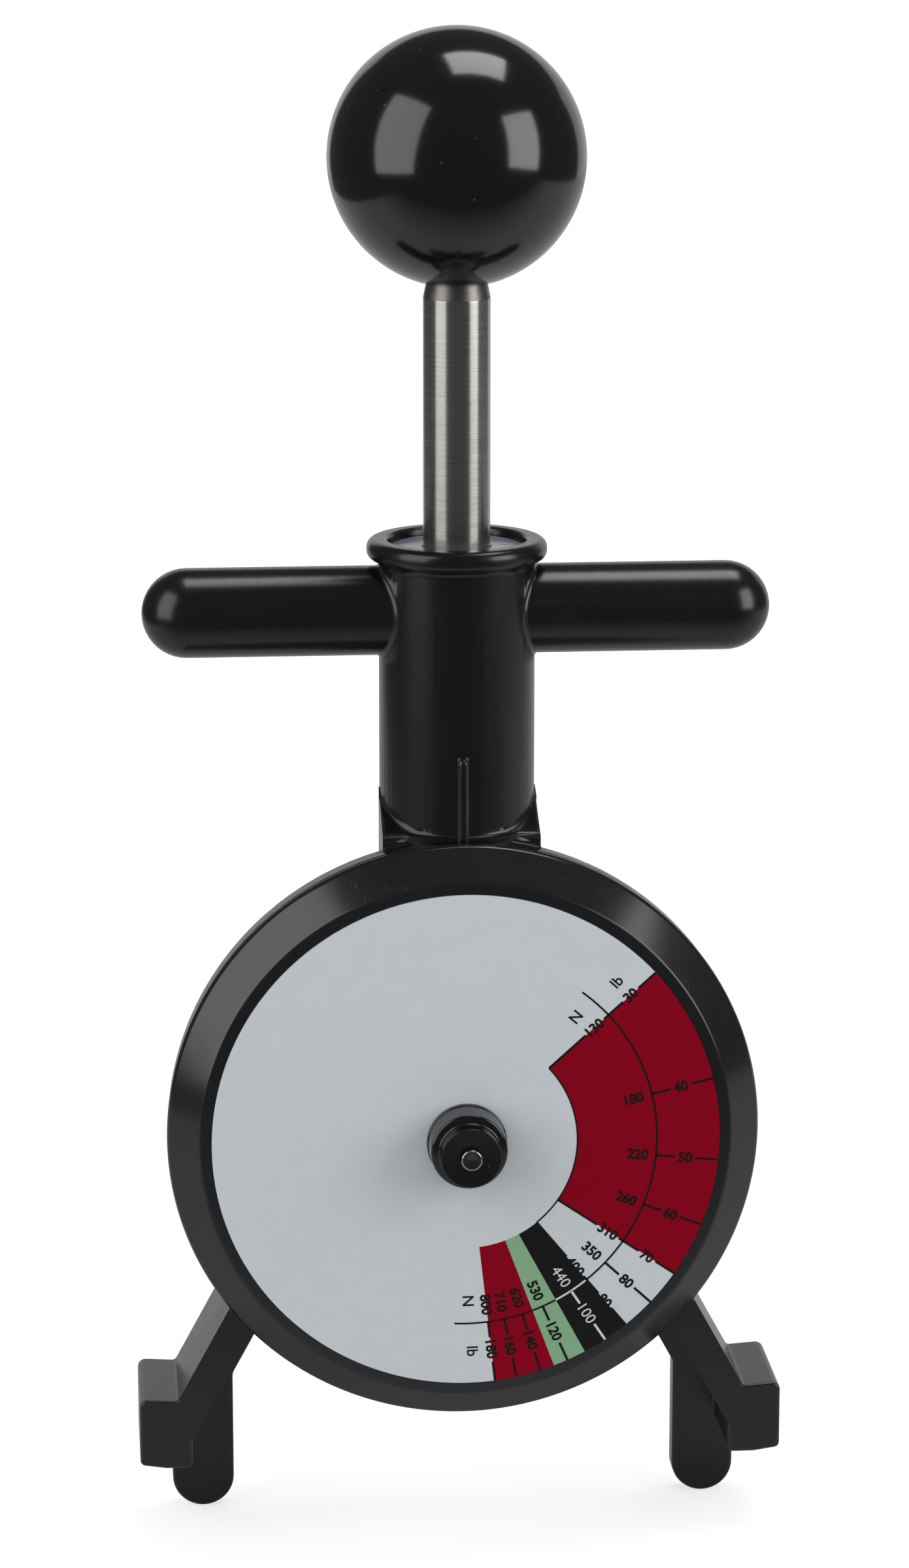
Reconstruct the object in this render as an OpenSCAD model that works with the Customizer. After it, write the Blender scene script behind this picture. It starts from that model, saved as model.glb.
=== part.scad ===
// Belt tension tester: a spring plunger with a hook pulls the belt up between two feet,
// and a rack on the hook turns a bevelled dial that is read against the rib on the barrel.

/* [Dial] */
// Height of the dial's axis above the feet's pressing faces
dial_height = 53.9; // [50:0.1:60]
// Diameter of the dial's rear edge
dial_d = 89.1; // [84:0.1:94]
// Diameter of the dial's flat front
dial_front_d = 79.4; // [77:0.1:82]
// Depth of the dial's bevelled skirt
dial_depth = 5.3; // [4:0.1:7]
// Height of the straight edge at the dial's rear
dial_edge_h = 0.8; // [0.5:0.1:1.2]
// Wall of the dial's front and skirt
dial_wall = 2.2; // [1.6:0.1:2.6]
// Diameter of the printed label
label_d = 76; // [70:0.1:77]
// Thickness of the printed label
label_t = 0.3; // [0.2:0.05:0.6]
// Running gap between the dial and the housing behind it
dial_gap = 0.6; // [0.4:0.1:1.2]

/* [Dial hub and shaft] */
// Diameter of the hub's foot
hub_foot_d = 12; // [11:0.1:14]
// Height of the hub's foot
hub_foot_h = 0.8; // [0.5:0.1:1.5]
// Diameter of the hub where its side turns into the cone
hub_side_d = 11; // [10:0.1:11.4]
// Height of the hub's cone
hub_cone_h = 3.1; // [2:0.1:4]
// Diameter of the hub's front face
hub_front_d = 8.8; // [7:0.1:9.5]
// Depth of the hollow in the hub's front face
hub_dish = 0.4; // [0.2:0.1:0.8]
// Height of the hub above the label
hub_h = 8.2; // [6:0.1:11]
// Diameter of the dial shaft
shaft_d = 3.2; // [2.8:0.1:3.6]
// Length of shaft that stands out of the hub
shaft_out = 1.1; // [0.6:0.1:2]
// Diameter of the dimple in the shaft's end
dimple_d = 2; // [1.4:0.1:2.2]
// Depth of the dimple in the shaft's end
dimple_depth = 0.5; // [0.3:0.1:0.8]
// Radial running clearance of the shaft in its bushes
shaft_clear = 0.05; // [0.03:0.01:0.08]
// Wall of the shaft bushes
shaft_bush_wall = 1.6; // [1.2:0.1:2]
// Collar of the shaft bushes, beyond their wall
shaft_bush_collar = 1.3; // [0.8:0.1:1.6]
// Thickness of the shaft bushes' collars
shaft_collar_t = 0.8; // [0.6:0.1:1]
// Diameter of the shaft clip
clip_d = 6.4; // [5.6:0.1:7]
// Thickness of the shaft clip
clip_t = 0.7; // [0.5:0.1:1]

/* [Rack and pinion] */
// Travel of the plunger
stroke = 28; // [24:0.5:30]
// Gear module
gear_module = 1; // [0.95:0.05:1.05]
// Teeth of the pinion
pinion_teeth = 16; // [15:1:17]
// Tooth height above the pitch line, in modules
addendum = 0.8; // [0.7:0.05:0.9]
// Tooth depth below the pitch line, in modules
dedendum = 1.25; // [1.2:0.05:1.35]
// Backlash at the pitch line, taken off each tooth
backlash = 0.2; // [0.15:0.01:0.3]
// Pressure angle
pressure_angle = 20; // [18:1:22]
// Thickness of the rack and its hook
rack_t = 3; // [2.6:0.1:3.4]
// Width of the rack's plain limb
rack_limb = 3.4; // [3:0.1:4]
// Diameter of the pinion's boss
pinion_boss_d = 7.2; // [6.5:0.1:8]
// Diameter of the pin through the pinion's boss
pinion_pin_d = 1; // [0.8:0.1:1.2]

/* [Hook] */
// Width of the hook's shank and prong
hook_w = 12; // [10:0.5:16]
// Gap between the rest place of the prong's underside and the feet's pressing faces
hook_rise = 9.2; // [8.4:0.1:11]
// Height of the lip at the prong's end
hook_lip = 2.7; // [2:0.1:3.2]
// Crown radius of the prong, which bears on the belt
hook_crown = 16; // [12:1:30]
// Gap between the prong's end and the housing's rim
hook_gap = 0.8; // [0.6:0.1:1.5]

/* [Plunger] */
// Diameter of the ball knob
knob_d = 38.1; // [34:0.1:40]
// Diameter of the flat under the ball knob
knob_flat_d = 12; // [11:0.1:16]
// Rod that shows between the barrel and the ball knob
rod_shown = 37.3; // [34:0.1:44]
// Diameter of the plunger rod
rod_d = 10; // [9.6:0.1:10.2]
// Diameter of the rod's threaded top
rod_stud_d = 8; // [7:0.1:8.6]
// Height of the chamfer at the rod's top
rod_chamfer = 2.6; // [1:0.1:3.4]
// Height of the taper at the rod's lower end
rod_lead_h = 3.2; // [2.6:0.1:4]
// Depth of the taper at the rod's lower end
rod_lead = 1.2; // [1:0.1:1.5]
// Diameter of the knob's threaded insert
insert_d = 11; // [10:0.1:12]
// Length of the knob's threaded insert
insert_l = 18; // [12:0.5:22]
// Radial running clearance of the rod in its bushes
rod_clear = 0.05; // [0.03:0.01:0.08]
// Thickness of the spring collar
collar_t = 2.6; // [2.2:0.1:3]
// Diameter of the pin through the spring collar
collar_pin_d = 1.6; // [1.2:0.1:2]
// Thickness of the bumper washer
bumper_t = 1; // [0.8:0.1:1.6]
// Height of the crosshead
crosshead_t = 4; // [3.6:0.1:5]
// Gap between the crosshead and the dial shaft at full travel
crosshead_guard = 1.4; // [1:0.1:2.5]
// Drop of the crosshead's ends below its middle
crosshead_drop = 5; // [4:0.1:6]
// Width of the crosshead's flat middle
crosshead_flat_w = 13; // [11:0.1:14]

/* [Return spring] */
// Wire diameter of the return spring
wire_d = 1.6; // [1.2:0.1:1.8]
// Coils of the return spring
spring_turns = 6.5; // [5.5:0.5:7]
// Gap between the spring and the barrel's bore
spring_gap = 0.6; // [0.4:0.1:1]
// Thickness of the washer under the spring
washer_t = 0.5; // [0.4:0.1:0.8]

/* [Barrel and handle] */
// Rise from the dial's axis to the barrel's rim
barrel_rise = 88.2; // [84:0.1:92]
// Outside diameter of the barrel
barrel_d = 23.3; // [22.5:0.1:25]
// Diameter of the barrel's bore
bore_d = 17.2; // [16.4:0.1:18]
// Diameter of the lip round the barrel's mouth
lip_d = 26.9; // [25.8:0.1:28]
// Height of the lip
lip_h = 3.1; // [2.6:0.1:4]
// Radius of the lip's rounded edges
lip_round = 1.3; // [0.8:0.1:1.3]
// Radius of the cove under the lip
lip_cove = 1.2; // [0.8:0.1:2]
// Diameter of the top bush
top_bush_d = 20; // [18.8:0.1:20.4]
// Thickness of the top bush
top_bush_t = 3.2; // [2.8:0.1:4]
// Depth of the top bush below the rim
top_bush_recess = 1.2; // [0.4:0.1:1.6]
// Width of the chamfer round the barrel's mouth
mouth_chamfer = 0.5; // [0.2:0.1:0.8]
// Span of the finger handle
handle_span = 93.9; // [86:0.1:100]
// Diameter of the finger handle
handle_d = 13.4; // [12:0.1:15]
// Depth of the handle's centre line below the rim
handle_drop = 10.8; // [9:0.1:14]
// Width of the index rib
rib_w = 1.7; // [1.4:0.1:2.4]
// Height of the index rib above the dial's edge
rib_h = 12.6; // [9:0.1:15]
// Height that the rib stands proud of the barrel
rib_out = 1; // [0.7:0.1:1.4]
// Thickness of the wall under the spring
seat_t = 3.2; // [2.8:0.1:4]
// Wall of the lower rod bush
rod_bush_wall = 1.6; // [1.2:0.1:2]
// Height of the gusset's ridge above the dial's edge
gusset_h = 5.8; // [5:0.1:8]
// Height of the gusset's front edge above the dial's edge
gusset_front_h = 0.5; // [0.4:0.1:1.6]
// Overhang of the gusset beyond each side of the barrel
gusset_side = 0.15; // [0.1:0.05:1]

/* [Housing and legs] */
// Diameter of the housing's rim
rim_d = 88.6; // [84:0.1:90]
// Depth of the housing's rim
rim_depth = 4.6; // [3.8:0.1:6]
// Wall of the housing's rim
rim_wall = 2.4; // [1.8:0.1:3]
// Thickness of the housing's front plate
plate_t = 2.7; // [2.4:0.1:3.2]
// Depth of the legs from front to back
leg_depth = 19; // [18:0.5:21]
// Thickness of a leg's web
leg_t = 4.9; // [4.2:0.1:5.6]
// Slope of the legs
leg_angle = 61.5; // [60:0.5:64]
// Distance between the outer sides of the feet
feet_span = 98.4; // [94:0.1:104]
// Width of a foot
foot_w = 8; // [7:0.1:9]
// Height of a foot
foot_h = 11.2; // [9.5:0.1:12.5]
// Rise of a foot's top towards its outer side
foot_lift = 0.4; // [0:0.1:0.8]
// Rise of a foot's pressing face towards its outer side
foot_crown = 0.6; // [0.2:0.1:1]
// Height of the leg's underside where it leaves the foot
foot_inside_h = 4.6; // [3.4:0.1:5.4]
// Corner radius of the feet and legs
foot_r = 0.8; // [0.4:0.1:1.2]
// Radius of a foot's outer top corner
foot_top_r = 1.2; // [0.6:0.1:1.6]
// Width of a belt finger
finger_w = 9.5; // [8.5:0.1:10.5]
// Reach of the belt fingers below the feet
finger_drop = 12.1; // [10:0.1:15]
// Inset of a belt finger from the foot's outer side
finger_inset = 5.2; // [4.4:0.1:6]
// Thickness of the belt fingers
finger_t = 4; // [3:0.1:5]
// Height of the bend from finger to leg, above the feet's pressing faces
finger_bend_h = 9.5; // [7.4:0.1:11]

/* [Rack channel] */
// Side wall of the rack channel
channel_wall = 2; // [1.6:0.1:2.6]
// Front wall of the rack channel
channel_front_t = 3.5; // [3:0.1:4]
// Roof of the rack channel
channel_roof = 2.7; // [2.2:0.1:3.4]
// Side clearance of the rack and crosshead in the channel
slide_clear = 0.3; // [0.2:0.05:0.5]
// Gap between the hook's lip at rest and the channel's mouth
mouth_gap = 2; // [1.5:0.1:3]
// Thickness of the rear cover
cover_t = 2; // [1.6:0.1:2.6]
// Diameter of the cover's screw bosses
boss_d = 6.4; // [6:0.1:7]
// Diameter of the cover screws
cover_screw_d = 3; // [2.4:0.1:3.2]
// Diameter of the rack screws
rack_screw_d = 2.2; // [2:0.1:2.5]
// Diameter of the crosshead screw
cross_screw_d = 4; // [3.4:0.1:4.4]

/* [Hidden] */
$fn = 96;
eps = 0.01;
// Overshoot of a tool that cuts right through
cut = 1;

moulded_black = "#1d1d1f";
phenolic_black = "#141416";
ground_steel = "#b9bcbf";
bright_zinc = "#c9ccce";
bronze = "#a9824b";
label_white = "#d3d8db";
acetal_black = "#26262b";
brass = "#b08d4a";
rubber = "#2a2a2b";

// Heights
face_z = finger_drop;
dial_z = face_z + dial_height;
rim_z = dial_z + barrel_rise;
handle_z = rim_z - handle_drop;
knob_z = rim_z + rod_shown + knob_d / 2;
knob_flat_z = knob_z - sqrt(pow(knob_d / 2, 2) - pow(knob_flat_d / 2, 2));
insert_floor = 1;
stud_gap = 1;
stud_top_z = knob_flat_z + insert_l - insert_floor - stud_gap;
dial_top_z = dial_z + dial_d / 2;
rod_end_z = dial_z + shaft_d / 2 + crosshead_guard + crosshead_t + stroke;
seat_under_z = rod_end_z + slide_clear;
seat_z = seat_under_z + seat_t;
top_bush_z = rim_z - top_bush_recess;
bumper_gap = 0.1;
bumper_top_z = top_bush_z - top_bush_t - bumper_gap;
collar_top_z = bumper_top_z - bumper_t;
collar_z = collar_top_z - collar_t;
spring_low_z = seat_z + washer_t;
crosshead_z = rod_end_z - crosshead_t;
crosshead_inset = 0.2;
channel_top_z = seat_under_z + channel_roof;
barrel_low_z = seat_under_z + eps;
limb_top_z = rod_end_z - crosshead_drop;
prong_z = face_z + hook_rise;
mouth_z = prong_z + rack_t + hook_lip + mouth_gap;

// Depths, measured from the plunger's axis: front is negative
leg_front = -leg_depth / 2;
leg_back = leg_depth / 2;
plate_front = leg_front - plate_t;
dial_back = plate_front - dial_gap;
dial_front = dial_back - dial_depth;
label_front = dial_front - label_t;
hub_front = label_front - hub_h;
shaft_front = hub_front - shaft_out;
cover_back = leg_back + cover_t;
shaft_back = cover_back + shaft_out;
cover_head_h = 1.8;
reach_back = max(knob_d / 2, cover_back + cover_head_h);
channel_front = leg_front + channel_front_t;
rack_lap = 0.5;
rack_front = rod_d / 2 - rack_lap;
rack_back = rack_front + rack_t;
finger_front = leg_back - finger_t;
prong_front = plate_front + rim_depth + hook_gap;

// The plunger's axis stands behind the middle of the part's box
plunger_y = (-shaft_front - reach_back) / 2;

// Gear sizes
pitch_r = gear_module * pinion_teeth / 2;
tip_r = pitch_r + addendum * gear_module;
root_r = pitch_r - dedendum * gear_module;
gear_pitch = PI * gear_module;
rack_root_x = -pitch_r - dedendum * gear_module;
slot_clear = 0.8;
slot_right_x = tip_r + slot_clear;
slot_bottom_z = dial_z - tip_r - slot_clear;
rack_half_w = slot_right_x + rack_limb;
channel_half_w = rack_half_w + slide_clear;
spine_half_w = channel_half_w + channel_wall;
tooth_side_gap = 0.3;
pinion_front = rack_front + tooth_side_gap;
pinion_t = rack_t - 2 * tooth_side_gap;
pinion_back = pinion_front + pinion_t;
end_play = 0.3;
pinion_boss_l = leg_back - shaft_collar_t - end_play - pinion_back;
pinion_pin_l = pinion_boss_d - 0.4;

// Bush and spring radii
shaft_r = shaft_d / 2;
shaft_bore_r = shaft_r + shaft_clear;
shaft_bush_r = shaft_bore_r + shaft_bush_wall;
rod_bore_r = rod_d / 2 + rod_clear;
lower_bush_r = rod_bore_r + rod_bush_wall;
spring_r = bore_d / 2 - spring_gap - wire_d / 2;
collar_r = spring_r + wire_d / 2;

// Places of the screws
boss_lap = 1.2;
cover_screw_x = spine_half_w + boss_d / 2 - boss_lap;
cover_screw_zs = [mouth_z + boss_d / 2, limb_top_z - boss_d];
cover_boss_l = 9;
cover_fit = 0.1;
cover_grip = 7;
head_ratio = 1.8;
cover_head_d = cover_screw_d * head_ratio;
rack_screw_z = limb_top_z - crosshead_t / 2;
rack_screw_x = rack_half_w - rack_limb / 2;
rack_screw_head_h = 1.2;
rack_screw_head_d = rack_screw_d + 1.2;
rack_screw_grip = 4;
cross_screw_l = 12;
cross_head_d = cross_screw_d * head_ratio;
cross_head_h = 2;

// Turns a flat outline so that it stands in the front plane, from y = front to y = back
module standing(front, back) {
    translate([0, plunger_y + back, 0])
        rotate([90, 0, 0])
            linear_extrude(back - front)
                children();
}

// A cylinder along the dial's axis, from y = front to y = back
module dial_cylinder(r, front, back, x = 0, z = dial_z) {
    translate([x, plunger_y + back, z])
        rotate([90, 0, 0])
            cylinder(r = r, h = back - front);
}

// Revolves an outline about the dial's axis: outline x is the radius and outline y runs to the front
module dial_revolve() {
    translate([0, plunger_y, dial_z])
        rotate([90, 0, 0])
            rotate_extrude()
                children();
}

// A cylinder on the plunger's axis
module rod_cylinder(r, low, high) {
    translate([0, plunger_y, low])
        cylinder(r = r, h = high - low);
}

// Outline of the rack channel: straight sides and a roof that slopes down to both sides, grown by
// side and roof from the crosshead's own outline
module gable(low, side, roof) {
    half_w = rack_half_w + side;
    polygon([
        [-half_w, low],
        [half_w, low],
        [half_w, limb_top_z + roof],
        [crosshead_flat_w / 2 + side, rod_end_z + roof],
        [-crosshead_flat_w / 2 - side, rod_end_z + roof],
        [-half_w, limb_top_z + roof]
    ]);
}

module mirrored_x() {
    children();
    mirror([1, 0, 0])
        children();
}

function unit(v) = v / norm(v);

// Points of an arc, from one angle to another
function arc(centre, r, from, to, steps) =
    [for (i = [0:steps]) let (a = from + (to - from) * i / steps) centre + r * [cos(a), sin(a)]];

// Points of the arc that rounds corner b, between its neighbours a and c
function corner_arc(a, b, c, r, steps = 5) =
    let (
        u = unit(a - b),
        v = unit(c - b),
        half = acos(u * v) / 2,
        centre = b + unit(u + v) * r / sin(half),
        from = b + u * r / tan(half) - centre,
        to = b + v * r / tan(half) - centre,
        start = atan2(from.y, from.x),
        sweep = (atan2(to.y, to.x) - start + 540) % 360 - 180
    )
    arc(centre, r, start, start + sweep, steps);

// Outline with each corner rounded by its own radius
function rounded(points, radii) =
    let (n = len(points))
    [for (i = [0:n - 1]) each corner_arc(points[(i + n - 1) % n], points[i], points[(i + 1) % n], radii[i])];

// Involute point at unrolled angle t, in degrees, off a base circle
function involute(base, t) =
    base * [cos(t) + t * PI / 180 * sin(t), sin(t) - t * PI / 180 * cos(t)];

function rotated(p, a) = [p.x * cos(a) - p.y * sin(a), p.x * sin(a) + p.y * cos(a)];

// Body: barrel, finger handle, gusset, housing, rack channel and legs in one moulding
module barrel_shell() {
    barrel_r = barrel_d / 2;
    lip_mid = [lip_d / 2 - lip_round, rim_z - lip_h + lip_round];
    cove_x = barrel_r + lip_cove;
    cove_drop = sqrt(pow(lip_round + lip_cove, 2) - pow(cove_x - lip_mid.x, 2));
    meet = atan2(cove_drop, lip_mid.x - cove_x);
    translate([0, plunger_y, 0])
        rotate_extrude()
            polygon(concat(
                [[0, barrel_low_z], [barrel_r, barrel_low_z]],
                arc([cove_x, lip_mid.y - cove_drop], lip_cove, 180, meet, 6),
                arc(lip_mid, lip_round, meet - 180, 0, 6),
                arc([lip_mid.x, rim_z - lip_round], lip_round, 0, 90, 6),
                [[0, rim_z]]
            ));
}

module handle_bar() {
    bar_r = handle_d / 2;
    translate([0, plunger_y, handle_z])
        rotate([0, 90, 0]) {
            cylinder(r = bar_r, h = handle_span - handle_d, center = true);
            for (side = [-1, 1])
                translate([0, 0, side * (handle_span / 2 - bar_r)])
                    sphere(r = bar_r);
        }
}

// A wedge as deep as the front of the legs, which stands the barrel on the housing
module gusset() {
    half_w = barrel_d / 2 + gusset_side;
    translate([-half_w, plunger_y, 0])
        rotate([90, 0, 90])
            linear_extrude(2 * half_w)
                polygon([
                    [0, barrel_low_z],
                    [0, dial_top_z + gusset_h],
                    [leg_front, dial_top_z + gusset_front_h],
                    [leg_front, barrel_low_z]
                ]);
}

module index_rib() {
    low = dial_top_z - rim_wall;
    front = -barrel_d / 2 - rib_out;
    round_r = rib_w / 2;
    root = -bore_d / 2 - cut;
    top = dial_top_z + rib_h - round_r;
    translate([0, plunger_y, low]) {
        translate([-round_r, front + round_r, 0])
            cube([rib_w, root - front - round_r, top - low]);
        translate([0, front + round_r, 0])
            cylinder(r = round_r, h = top - low);
        translate([0, front + round_r, top - low])
            sphere(r = round_r);
    }
}

module housing_pan() {
    edge_r = 1;
    rim_back = plate_front + rim_depth;
    dial_revolve() {
        translate([0, -leg_front - eps])
            square([rim_d / 2 - edge_r, plate_t + eps]);
        translate([rim_d / 2 - rim_wall, -rim_back])
            square([rim_wall - edge_r, rim_depth]);
        translate([rim_d / 2 - edge_r - eps, -rim_back + edge_r])
            square([edge_r + eps, rim_depth - edge_r - edge_r]);
        for (y = [-rim_back + edge_r, -plate_front - edge_r])
            translate([rim_d / 2 - edge_r, y])
                circle(r = edge_r);
    }
}

module channel_box() {
    standing(leg_front, leg_back)
        gable(mouth_z, slide_clear + channel_wall, slide_clear + channel_roof);
    mirrored_x()
        for (z = cover_screw_zs)
            dial_cylinder(boss_d / 2, leg_back - cover_boss_l, leg_back, cover_screw_x, z);
}

// One leg with its foot and belt finger, on the right
module leg() {
    foot_out = feet_span / 2;
    foot_in = foot_out - foot_w;
    rise = [-cos(leg_angle), sin(leg_angle)];
    under = [foot_in, face_z + foot_inside_h];
    over = under + leg_t * [sin(leg_angle), cos(leg_angle)];
    over_at_top = over + rise * (face_z + foot_h - foot_lift - over.y) / rise.y;
    inside = spine_half_w - channel_wall / 2;
    under_end = under + rise * (inside - under.x) / rise.x;
    over_end = over + rise * (inside - over.x) / rise.x;
    standing(leg_front, leg_back)
        polygon(rounded(
            [
                [foot_in, face_z],
                [foot_out - foot_w / 2, face_z],
                [foot_out, face_z + foot_crown],
                [foot_out, face_z + foot_h],
                over_at_top,
                over_end,
                under_end,
                under
            ],
            [foot_r, foot_r, foot_r, foot_top_r, foot_r, foot_r, foot_r, foot_r]
        ));
    finger_out = foot_out - finger_inset;
    finger_in = finger_out - finger_w;
    bend = [finger_in, face_z + finger_bend_h];
    bend_end = bend + rise * (inside - bend.x) / rise.x;
    standing(finger_front, leg_back) {
        polygon([
            [finger_out, finger_w / 2],
            [finger_out, face_z + foot_h / 2],
            over_at_top,
            over_end,
            bend_end,
            bend,
            [finger_in, finger_w / 2]
        ]);
        translate([finger_out - finger_w / 2, finger_w / 2])
            circle(d = finger_w);
    }
}

module body_frame() {
    color(moulded_black)
        difference() {
            union() {
                barrel_shell();
                handle_bar();
                gusset();
                index_rib();
                housing_pan();
                channel_box();
                mirrored_x()
                    leg();
            }
            rod_cylinder(bore_d / 2, seat_z, rim_z);
            rod_cylinder(top_bush_d / 2, top_bush_z - top_bush_t, rim_z + cut);
            translate([0, plunger_y, top_bush_z])
                cylinder(r1 = top_bush_d / 2, r2 = top_bush_d / 2 + 2 * mouth_chamfer, h = 2 * top_bush_recess);
            rod_cylinder(lower_bush_r, seat_under_z - cut, seat_z + cut);
            standing(channel_front, leg_back + cut)
                gable(mouth_z - cut, slide_clear, slide_clear);
            dial_cylinder(shaft_bush_r, plate_front - cut, channel_front + cut);
            mirrored_x()
                for (z = cover_screw_zs)
                    dial_cylinder(cover_screw_d / 2, leg_back - cover_grip, leg_back + cut, cover_screw_x, z);
        }
}

module top_bush() {
    color(acetal_black)
        difference() {
            rod_cylinder(top_bush_d / 2, top_bush_z - top_bush_t, top_bush_z);
            rod_cylinder(rod_bore_r, top_bush_z - top_bush_t - cut, top_bush_z + cut);
        }
}

module lower_bush() {
    color(bronze)
        difference() {
            rod_cylinder(lower_bush_r, seat_under_z, seat_z);
            rod_cylinder(rod_bore_r, seat_under_z - cut, seat_z + cut);
        }
}

module spring_washer() {
    color(bright_zinc)
        difference() {
            rod_cylinder(collar_r, seat_z, spring_low_z);
            rod_cylinder(rod_d / 2 + spring_gap, seat_z - cut, spring_low_z + cut);
        }
}

// A bush from y = front to y = back, with its collar on the side away from the wall it sits in
module shaft_bush(front, back, collar_front, collar_back) {
    color(bronze)
        difference() {
            union() {
                dial_cylinder(shaft_bush_r, front, back);
                dial_cylinder(shaft_bush_r + shaft_bush_collar, collar_front, collar_back);
            }
            dial_cylinder(shaft_bore_r, front - shaft_collar_t - cut, back + shaft_collar_t + cut);
        }
}

module front_shaft_bush() {
    shaft_bush(plate_front, channel_front, plate_front - shaft_collar_t, plate_front);
}

module rear_shaft_bush() {
    shaft_bush(leg_back - shaft_collar_t, cover_back, leg_back - shaft_collar_t, leg_back);
}

module rear_cover() {
    color(moulded_black)
        difference() {
            union() {
                standing(leg_back, cover_back)
                    gable(mouth_z, slide_clear + channel_wall, slide_clear + channel_roof);
                mirrored_x()
                    for (z = cover_screw_zs)
                        dial_cylinder(boss_d / 2, leg_back, cover_back, cover_screw_x, z);
            }
            dial_cylinder(shaft_bush_r, leg_back - cut, cover_back + cut);
            mirrored_x()
                for (z = cover_screw_zs)
                    dial_cylinder(cover_screw_d / 2, leg_back - cut, cover_back + cut, cover_screw_x, z);
            rod_cylinder(barrel_d / 2 + cover_fit, seat_under_z - cover_fit, channel_top_z + cut);
        }
}

module rear_cover_screws() {
    color(bright_zinc)
        mirrored_x()
            for (z = cover_screw_zs) {
                dial_cylinder(cover_screw_d / 2, leg_back - cover_grip, cover_back, cover_screw_x, z);
                dial_cylinder(cover_head_d / 2, cover_back, cover_back + cover_head_h, cover_screw_x, z);
            }
}

// Coil with flattened pitch at both ends, from the washer to the spring collar
module return_spring() {
    sides = 8;
    steps = round(spring_turns * 20);
    low = spring_low_z + wire_d / 2;
    high = collar_z - wire_d / 2;
    closed = 1 / spring_turns;
    flat = 0.04;
    function climb(t) = t < closed ? flat * t / closed
        : t > 1 - closed ? 1 - flat * (1 - t) / closed
        : flat + (1 - 2 * flat) * (t - closed) / (1 - 2 * closed);
    function ring(i) =
        let (t = i / steps, a = 360 * spring_turns * t, z = low + (high - low) * climb(t))
        [for (k = [0:sides - 1])
            let (r = spring_r + wire_d / 2 * cos(360 * k / sides))
            [r * cos(a), r * sin(a), z + wire_d / 2 * sin(360 * k / sides)]];
    points = [for (i = [0:steps]) each ring(i)];
    walls = [for (i = [0:steps - 1]) for (k = [0:sides - 1])
        let (a = i * sides + k, b = i * sides + (k + 1) % sides)
        each [[a, b, b + sides], [a, b + sides, a + sides]]];
    ends = [[for (k = [sides - 1:-1:0]) k], [for (k = [0:sides - 1]) steps * sides + k]];
    color(ground_steel)
        translate([0, plunger_y, 0])
            polyhedron(points, concat(walls, ends), convexity = 10);
}

// Plunger: knob, rod, spring collar, crosshead and the hook with its rack
module ball_knob() {
    color(phenolic_black)
        difference() {
            translate([0, plunger_y, knob_z])
                sphere(d = knob_d, $fn = 128);
            rod_cylinder(knob_d, knob_z - knob_d, knob_flat_z);
            rod_cylinder(insert_d / 2, knob_flat_z - cut, knob_flat_z + insert_l);
        }
}

module knob_insert() {
    color(brass)
        difference() {
            rod_cylinder(insert_d / 2, knob_flat_z, knob_flat_z + insert_l);
            rod_cylinder(rod_stud_d / 2, knob_flat_z - cut, stud_top_z + stud_gap);
        }
}

module plunger_rod() {
    shoulder_r = rod_stud_d / 2 + (rod_d - rod_stud_d) / 4;
    color(ground_steel)
        difference() {
            translate([0, plunger_y, 0])
                rotate_extrude()
                    polygon([
                        [0, rod_end_z],
                        [rod_d / 2 - rod_lead, rod_end_z],
                        [rod_d / 2, rod_end_z + rod_lead_h],
                        [rod_d / 2, knob_flat_z - rod_chamfer],
                        [shoulder_r, knob_flat_z],
                        [rod_stud_d / 2, knob_flat_z],
                        [rod_stud_d / 2, stud_top_z],
                        [0, stud_top_z]
                    ]);
            rod_cylinder(cross_screw_d / 2, rod_end_z - cut, crosshead_z + cross_screw_l);
            collar_pin_hole();
        }
}

module collar_pin_hole() {
    translate([0, plunger_y, collar_z + collar_t / 2])
        rotate([0, 90, 0])
            cylinder(d = collar_pin_d, h = 2 * collar_r + 2 * cut, center = true);
}

module bumper_washer() {
    color(rubber)
        difference() {
            rod_cylinder(collar_r - spring_gap, collar_top_z, bumper_top_z);
            rod_cylinder(rod_d / 2, collar_top_z - cut, bumper_top_z + cut);
        }
}

module spring_collar() {
    color(bright_zinc)
        difference() {
            rod_cylinder(collar_r, collar_z, collar_top_z);
            rod_cylinder(rod_d / 2, collar_z - cut, collar_top_z + cut);
            collar_pin_hole();
        }
}

module collar_pin() {
    color(ground_steel)
        translate([0, plunger_y, collar_z + collar_t / 2])
            rotate([0, 90, 0])
                cylinder(d = collar_pin_d, h = 2 * collar_r - spring_gap, center = true);
}

// An arched bar that steps down from the rod to the two limbs of the rack
module crosshead() {
    front = -rod_d / 2 + crosshead_inset;
    arch = crosshead_drop * (rack_half_w - slot_right_x) / (rack_half_w - crosshead_flat_w / 2);
    color(bright_zinc)
        difference() {
            standing(front, rack_front)
                difference() {
                    gable(limb_top_z - crosshead_t, 0, 0);
                    polygon([
                        [-slot_right_x, limb_top_z - crosshead_t - cut],
                        [-slot_right_x, limb_top_z - crosshead_t + arch],
                        [-crosshead_flat_w / 2, crosshead_z],
                        [crosshead_flat_w / 2, crosshead_z],
                        [slot_right_x, limb_top_z - crosshead_t + arch],
                        [slot_right_x, limb_top_z - crosshead_t - cut]
                    ]);
                }
            rod_cylinder(cross_screw_d / 2, crosshead_z - cut, rod_end_z + cut);
            rod_cylinder(cross_head_d / 2, crosshead_z - cut, crosshead_z + cross_head_h);
            mirrored_x()
                dial_cylinder(rack_screw_d / 2, rack_front - rack_screw_grip, rack_front + cut,
                    rack_screw_x, rack_screw_z);
        }
}

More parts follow.
